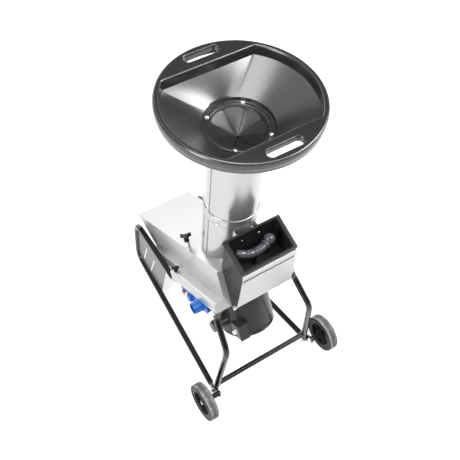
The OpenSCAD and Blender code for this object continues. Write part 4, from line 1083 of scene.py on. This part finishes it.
HOPPER_BOLT_X = 0.036
HOPPER_FRONT_Y, HOPPER_BACK_Y = -0.252, -0.126
HOPPER_FRONT_Z, HOPPER_BACK_Z = 0.749, 0.793
KEY_SLOT_SIZE = Vector((0.010, 0.0072, 0.030))
KEY_SLOT_REACH, KEY_SLOT_LIFT = 0.008, 0.004
BEAD_R, BEAD_X, BEAD_INSET, BEAD_SUNK, BEAD_CORNER = 0.003, 0.1065, 0.0055, 0.001, 0.012
GRIP_LEFT, GRIP_RIGHT, GRIP_BOW, GRIP_TILT = -0.080, 0.050, 0.020, math.radians(35)
GRIP_Y, GRIP_SIDES = -0.175, 40
# Grip sections are (share of its length, radius): round end, sleeves between grooves, neck with a collar
GRIP_END = (
    (-0.110, 0.001), (-0.105, 0.007), (-0.085, 0.0115), (-0.05, 0.0142), (0.0, 0.0155), (0.015, 0.016),
)
GRIP_GROOVES = ((0.17, 0.20), (0.41, 0.44))
# Start of a groove: (share of the grip's length after it, radius); the end mirrors it
GROOVE_EDGE = ((-0.008, 0.016), (0.0, 0.0154), (0.004, 0.0142))
GRIP_NECK = (
    (0.58, 0.0163), (0.70, 0.016), (0.735, 0.0156), (0.745, 0.0142), (0.775, 0.0138), (0.785, 0.0165),
    (0.80, 0.0175), (0.835, 0.0175), (0.85, 0.0165), (0.86, 0.0142),
)
BALL_R, BALL_TIP, BALL_START, BALL_STEPS = 0.021, 0.0005, -42, 12


def grip_sections(arc_length):
    """Sections along the grip, each (share of its length, radius)."""
    sections = list(GRIP_END)
    for start, end in GRIP_GROOVES:
        sections += [(start + along, r) for along, r in GROOVE_EDGE]
        sections += [(end - along, r) for along, r in reversed(GROOVE_EDGE)]
    sections += GRIP_NECK
    for i in range(BALL_STEPS + 1):
        a = math.radians(BALL_START + (90 - BALL_START) * i / BALL_STEPS)
        sections.append((1 + BALL_R * math.sin(a) / arc_length, max(BALL_TIP, BALL_R * math.cos(a))))
    return sections


def grip_mesh():
    """Curved hand grip: its sections set along an arc."""
    span = GRIP_RIGHT - GRIP_LEFT
    arc = (span * span / 4 + GRIP_BOW * GRIP_BOW) / (2 * GRIP_BOW)
    half = math.asin(span / 2 / arc)
    rows = []
    for share, radius in grip_sections(2 * half * arc):
        turn = half * (2 * share - 1)
        x = (GRIP_LEFT + GRIP_RIGHT) / 2 + arc * math.sin(turn)
        centre = Vector((x, arc * (1 - math.cos(turn)) - GRIP_BOW, 0))
        side = Vector((-math.sin(turn), math.cos(turn), 0))
        row = []
        for i in range(GRIP_SIDES):
            a = TURN * i / GRIP_SIDES
            row.append(centre + (side * math.cos(a) + Vector((0, 0, 1)) * math.sin(a)) * radius)
        rows.append(row)
    place = Matrix.Translation((0, CHUTE_Y + GRIP_Y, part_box("pusher_grip")[1].z - BALL_R))
    return to_mesh("pusher_grip", capped_stack(rows), place @ Matrix.Rotation(GRIP_TILT, 4, "X"), crease=50)


def hopper_bead():
    """Round bead on the hopper's sloping rim."""
    front, back = HOPPER_FRONT_Y + BEAD_INSET, HOPPER_BACK_Y - BEAD_INSET
    corners = ((-BEAD_X, front), (BEAD_X, front), (BEAD_X, back), (-BEAD_X, back))
    rise = (HOPPER_BACK_Z - HOPPER_FRONT_Z) / (HOPPER_BACK_Y - HOPPER_FRONT_Y)
    path = []
    for x, y in rounded(corners, BEAD_CORNER, steps=6):
        path.append((x, y + CHUTE_Y, HOPPER_FRONT_Z + (y - HOPPER_FRONT_Y) * rise - BEAD_SUNK))
    return swept_tube("branch_hopper", path, BEAD_R, closed=True)


class SHREDDER_OT_hopper(bpy.types.Operator):
    """Build the branch hopper with its rim bead and key slots, and the pusher"""

    bl_idname = "shredder.hopper"
    bl_label = "Branch hopper"

    def execute(self, context):
        tub = softened("branch_hopper", 0.003, segments=3)
        z = middle("hopper_bolts").z + KEY_SLOT_LIFT
        for side in (-1, 1):
            x = side * HOPPER_BOLT_X - KEY_SLOT_SIZE.x / 2
            corner = Vector((x, HOPPER_BACK_Y + CHUTE_Y - KEY_SLOT_REACH, z))
            tub = cut_away(tub, to_mesh("key_slot", box(corner, corner + KEY_SLOT_SIZE)))
        look("branch_hopper", joined(tub, hopper_bead(), crease=SOFT_CREASE))
        soften("pusher_plate", 0.0015)
        soften("hopper_bolts", 0.0005)
        look("pusher_grip", grip_mesh())
        soften("hopper_clips", 0.0005)
        return {"FINISHED"}


# Motor

# Place of the motor's axis along the deck's slope, from the chute axis
MOTOR_AXIS = -0.075
MOTOR_EDGES = {
    "motor_flange": 0.0015, "motor_housing": 0.0012, "terminal_box": 0.0022, "cable_gland": 0.0006,
    "capacitor": 0.0018,
}
# Ring inside the vents, with heights from the fan cover's foot
BAFFLE_HOLE, BAFFLE_WEB, BAFFLE_R = 0.1005, 0.1020, 0.1055
BAFFLE_FOOT, BAFFLE_HEAD, BAFFLE_LIP = 0.012, 0.029, 0.002


def vent_baffle():
    """Ring with two lips that closes the view through the fan cover's vents."""
    cover = frame["nodes"]["fan_cover"].data
    foot = min((FROM_DECK.inverted() @ v.co).z for v in cover.vertices)
    low, high = BAFFLE_FOOT + BAFFLE_LIP, BAFFLE_HEAD - BAFFLE_LIP
    section = [
        (BAFFLE_HOLE, BAFFLE_FOOT), (BAFFLE_R, BAFFLE_FOOT), (BAFFLE_R, low), (BAFFLE_WEB, low),
        (BAFFLE_WEB, high), (BAFFLE_R, high), (BAFFLE_R, BAFFLE_HEAD), (BAFFLE_HOLE, BAFFLE_HEAD),
    ]
    place = FROM_DECK @ Matrix.Translation((0, MOTOR_AXIS, foot))
    return to_mesh("vent_baffle", lathe(section, segments=96), place)


class SHREDDER_OT_motor(bpy.types.Operator):
    """Round the motor's edges, close its vents from inside and give its inner parts their finishes"""

    bl_idname = "shredder.motor"
    bl_label = "Motor"

    def execute(self, context):
        for node, width in MOTOR_EDGES.items():
            soften(node, width)
        look("fan_cover", joined(softened("fan_cover", 0.0006), vent_baffle(), crease=SOFT_CREASE))
        carry_over("rear_shield", "stator", "rotor_core", "motor_shaft", "upper_bearing", "lower_bearing")
        carry_over("cooling_fan", "knife_disc", "knives", "knife_bolts", "disc_nut")
        return {"FINISHED"}


# Switch and mains inlet

SWITCH_EDGES = {"switch_box": 0.0014, "stop_button": 0.0012, "start_button": 0.0012, "mains_inlet": 0.0008}


class SHREDDER_OT_switch(bpy.types.Operator):
    """Round the edges of the switch box, buttons and mains inlet"""

    bl_idname = "shredder.switch"
    bl_label = "Switch and inlet"

    def execute(self, context):
        for node, width in SWITCH_EDGES.items():
            soften(node, width)
        carry_over("inlet_pins")
        return {"FINISHED"}


# Tube frame

# Corners of the right side's tubes, from the chute axis and the ground
LOOP_CORNERS = (
    (0.173, 0.124, 0.277), (0.157, 0.461, 0.253), (0.157, 0.460, 0.01015), (0.22636, -0.27411, 0.04823),
)
LEG_CORNERS = ((0.181, -0.216, 0.444), (0.195, -0.317, 0.358), (0.22126, -0.30901, 0.08383))
TUBE_END, TUBE_CREASE = 0.075, 40
FRAME_EDGES = {
    "left_plate": 0.0005, "right_plate": 0.0005, "axle_brackets": 0.0008, "axle_spacers": 0.0008,
    "left_clamp_knob": 0.0008, "right_clamp_knob": 0.0008, "frame_bolts": 0.0006, "axle_bolts": 0.0006,
    "clamp_nuts": 0.0005,
}


def bent_path(corners, radius, steps=12):
    """Points along straight runs with a round bend at every inner corner."""
    points = [corners[0]]
    for before, here, after in zip(corners, corners[1:], corners[2:]):
        a, b = (before - here).normalized(), (after - here).normalized()
        half = a.angle(b) / 2
        run = radius / math.tan(half)
        centre = here + (a + b).normalized() * radius / math.sin(half)
        start, end = here + a * run - centre, here + b * run - centre
        sweep = start.angle(end)
        for i in range(steps + 1):
            t = i / steps
            blend = start * math.sin((1 - t) * sweep) + end * math.sin(t * sweep)
            points.append(centre + blend / math.sin(sweep))
    return points + [corners[-1]]


def cut_end(node, place, inward):
    """The flattened end of a CAD tube, cut off where its round run starts."""
    bm = bmesh.new()
    bm.from_mesh(frame["nodes"][node].data)
    everything = bm.verts[:] + bm.edges[:] + bm.faces[:]
    bmesh.ops.bisect_plane(bm, geom=everything, plane_co=place, plane_no=inward, clear_outer=True)
    far = [v for v in bm.verts if (v.co - place).length > TUBE_END]
    bmesh.ops.delete(bm, geom=far, context="VERTS")
    return to_mesh(node + "_end", bm, crease=TUBE_CREASE)


class SHREDDER_OT_frame(bpy.types.Operator):
    """Build the bent tube frame with its plates and clamps"""

    bl_idname = "shredder.frame"
    bl_label = "Frame"

    def execute(self, context):
        size = settings().frame
        for side, way in (("left", -1), ("right", 1)):
            for kind, corners in (("loop", LOOP_CORNERS), ("leg", LEG_CORNERS)):
                node = f"{side}_{kind}"
                path = [Vector((way * x, y + CHUTE_Y, z)) for x, y, z in corners]
                tube = swept_tube(node, bent_path(path, size.bend_radius), size.tube_radius)
                first = cut_end(node, path[0], (path[1] - path[0]).normalized())
                last = cut_end(node, path[-1], (path[-2] - path[-1]).normalized())
                look(node, joined(tube, first, last, crease=TUBE_CREASE))
        soften("crossbar", 0.0004, segments=1, crease=50)
        for node, width in FRAME_EDGES.items():
            soften(node, width)
        return {"FINISHED"}


# Wheels

SHOULDER, SHOULDER_HEIGHT, SIDE_ROUND = 0.003, 0.004, 0.002
TREAD_GROOVES = (-0.011, -0.0037, 0.0037, 0.011)
TREAD_GROOVE_HALF, TREAD_GROOVE_DEPTH = 0.0008, 0.0008
SEAT_GAP, SEAT_INSET = 0.0003, 0.0012
# Side of the hub's rim: (radius, inset from the tyre's side), then (distance inside the seat, inset)
RIM_SIDE = ((0.053, 0.006), (0.056, 0.0025))
RIM_LIP = ((0.003, 0.0018), (0.0, 0.0004))


def tyre_section(half, radius, seat):
    """Profile of a tyre with a grooved tread and rounded shoulders."""
    tread = [(radius - SHOULDER, -half, SIDE_ROUND), (radius, -half + SHOULDER_HEIGHT, SHOULDER)]
    floor = radius - TREAD_GROOVE_DEPTH
    for mark in TREAD_GROOVES:
        near, far = mark - TREAD_GROOVE_HALF, mark + TREAD_GROOVE_HALF
        tread += [(radius, near), (floor, near), (floor, far), (radius, far)]
    tread += [(radius, half - SHOULDER_HEIGHT, SHOULDER), (radius - SHOULDER, half, SIDE_ROUND)]
    foot = seat + SEAT_GAP
    return rounded([(foot, -half + SEAT_INSET), *tread, (foot, half - SEAT_INSET)], radius=0.0002, steps=3)


def flange_section(half, seat):
    """Profile of the hub's rim, with a raised flange on each side of the tyre's seat."""
    side = [*RIM_SIDE, *((seat - under, inset) for under, inset in RIM_LIP)]
    outline = [(r, -half + inset) for r, inset in side]
    outline += [(r, half - inset) for r, inset in reversed(side)]
    return rounded(outline, radius=0.001, steps=3)


class SHREDDER_OT_wheels(bpy.types.Operator):
    """Build the tyres and hubs"""

    bl_idname = "shredder.wheels"
    bl_label = "Wheels"

    def execute(self, context):
        size = settings().frame
        half, seat = size.wheel_width / 2, size.flange_radius
        for side in ("left", "right"):
            tyre, hub = side + "_tyre", side + "_hub"
            place = Matrix.Translation(middle(tyre)) @ Matrix.Rotation(math.pi / 2, 4, "Y")
            look(tyre, to_mesh(tyre, lathe(tyre_section(half, size.wheel_radius, seat)), place))
            rim = to_mesh(side + "_rim", lathe(flange_section(half, seat)), place)
            look(hub, joined(softened(hub, 0.0012), rim, crease=SOFT_CREASE))
        return {"FINISHED"}


# Stage

FLOOR_HALF = 9
FLOOR_TONES = ((0.50, 0.50, 0.50), (0.52, 0.52, 0.52))
# Place, aim, width and height of each lamp
LAMPS = {
    "top": ((-0.5, -0.4, 3.9), (-0.5, -0.399, 0.6), 1.6, 1.9),
    "soft": ((-0.5, 2.2, 3.9), (-0.5, 2.201, 0.6), 1.8, 3.0),
    "rear": ((0.2, 3.1, 1.3), (0, 0.2, 0.6), 3.0, 1.7),
    "front": ((1.98, -1.05, 3.0), (0, 0.15, 1.23), 2.1, 1.0),
    "brow": ((0.60, -1.75, 3.8), (0.25, 0, 1.2), 1.8, 1.2),
    "low": ((2.3, -0.5, 0.55), (0, -0.2, 0.35), 1.3, 0.9),
    "left": ((-2.7, -0.6, 2.0), (0, 0, 0.7), 1.0, 1.8),
}
# Camera solved from the photograph: place from the chute axis and the ground, turns in radians
CAMERA_PLACE = (-1.0012, -1.3009, 2.8630)
CAMERA_YAW, CAMERA_PITCH, CAMERA_ROLL = -0.65896, 0.93620, 0.09963
SENSOR_WIDTH = 36


def build_floor(stage):
    """A wide floor that is white as a background and grey under the lamps, so that it keeps shadows."""
    bm = bmesh.new()
    bmesh.ops.create_grid(bm, x_segments=2, y_segments=2, size=FLOOR_HALF)
    floor = linked("floor", to_mesh("floor", bm))
    finish = Finish("Pale floor")
    tone = finish.mix(finish.noise(finish.place(), scale=3), *FLOOR_TONES)
    body = finish.add("ShaderNodeBsdfDiffuse", sockets={"Color": tone})
    glow = finish.add("ShaderNodeEmission", sockets={"Strength": finish.seen() * stage.floor})
    both = finish.add("ShaderNodeAddShader", sockets={0: body, 1: glow})
    finish.add("ShaderNodeOutputMaterial", sockets={"Surface": both})
    floor.data.materials.append(finish.block)


def build_surroundings(stage):
    """A studio with white walls as a background, under a dark ceiling."""
    studio = Finish("Studio", "worlds")
    ray = studio.add("ShaderNodeTexCoord", output="Generated")
    height = studio.add("ShaderNodeSeparateXYZ", sockets={"Vector": ray}, output="Z")
    white = studio.seen() * (1 - studio.ramp(height, *stage.ceiling))
    strength = white * (1 - stage.sky) + stage.sky
    shine = studio.add("ShaderNodeBackground", sockets={"Color": (1, 1, 1, 1), "Strength": strength})
    studio.add("ShaderNodeOutputWorld", sockets={"Surface": shine})
    bpy.context.scene.world = studio.block


def build_lamps(stage):
    """Rectangular lamps, each aimed at a point."""
    for name, (place, aim, width, height) in LAMPS.items():
        lamp = bpy.data.lights.new(name + "_light", "AREA")
        lamp.shape = "RECTANGLE"
        lamp.size, lamp.size_y = width, height
        lamp.energy = getattr(stage, name)
        obj = linked(name + "_light", lamp)
        obj.location = place
        obj.rotation_euler = (Vector(aim) - Vector(place)).to_track_quat("-Z", "Y").to_euler()


def build_camera(stage):
    """The photograph's camera."""
    flat = math.cos(CAMERA_PITCH)
    forward = Vector((-math.sin(CAMERA_YAW) * flat, math.cos(CAMERA_YAW) * flat, -math.sin(CAMERA_PITCH)))
    right = Vector((math.cos(CAMERA_YAW), math.sin(CAMERA_YAW), 0))
    up = right.cross(forward)
    across = right * math.cos(CAMERA_ROLL) + up * math.sin(CAMERA_ROLL)
    upward = up * math.cos(CAMERA_ROLL) - right * math.sin(CAMERA_ROLL)
    camera = bpy.data.cameras.new("photo_camera")
    camera.sensor_width = SENSOR_WIDTH
    camera.sensor_fit = "HORIZONTAL"
    camera.lens = stage.lens
    eye = linked("photo_camera", camera)
    x, y, z = CAMERA_PLACE
    turned = Matrix((across, upward, -forward)).transposed().to_4x4()
    eye.matrix_world = Matrix.Translation((x, y + CHUTE_Y, z)) @ turned
    bpy.context.scene.camera = eye


class SHREDDER_OT_stage(bpy.types.Operator):
    """Build the floor, the surroundings, the lamps and the camera"""

    bl_idname = "shredder.stage"
    bl_label = "Stage"

    def execute(self, context):
        stage = settings().stage
        context.scene.view_settings.view_transform = "Standard"
        build_floor(stage)
        build_surroundings(stage)
        build_lamps(stage)
        build_camera(stage)
        return {"FINISHED"}


OPERATORS = (
    SHREDDER_OT_funnel,
    SHREDDER_OT_splash_guard,
    SHREDDER_OT_bolts,
    SHREDDER_OT_chute,
    SHREDDER_OT_cover,
    SHREDDER_OT_hopper,
    SHREDDER_OT_motor,
    SHREDDER_OT_switch,
    SHREDDER_OT_frame,
    SHREDDER_OT_wheels,
    SHREDDER_OT_stage,
)


class SHREDDER_PT_panel(bpy.types.Panel):
    """Sidebar panel that lists the shredder's operators and settings"""

    bl_idname = "SHREDDER_PT_panel"
    bl_label = "Garden shredder"
    bl_space_type = "VIEW_3D"
    bl_region_type = "UI"
    bl_category = "Shredder"

    def draw(self, context):
        for operator in OPERATORS:
            self.layout.operator(operator.bl_idname)
        for group in ("funnel", "frame", "colours", "stage"):
            rows = self.layout.box()
            rows.label(text=group.capitalize())
            values = getattr(context.scene.shredder, group)
            for name in values.__annotations__:
                rows.prop(values, name)


CLASSES = (
    FunnelSizes, FrameSizes, FinishColours, StageSettings, ShredderSettings, *OPERATORS, SHREDDER_PT_panel,
)


def register():
    for cls in CLASSES:
        bpy.utils.register_class(cls)
    bpy.types.Scene.shredder = PointerProperty(type=ShredderSettings)


def unregister():
    del bpy.types.Scene.shredder
    for cls in reversed(CLASSES):
        bpy.utils.unregister_class(cls)


def main():
    register()
    make_finishes()
    make_trees()
    for operator in OPERATORS:
        group, name = operator.bl_idname.split(".")
        getattr(getattr(bpy.ops, group), name)()


if __name__ == "__main__":
    main()
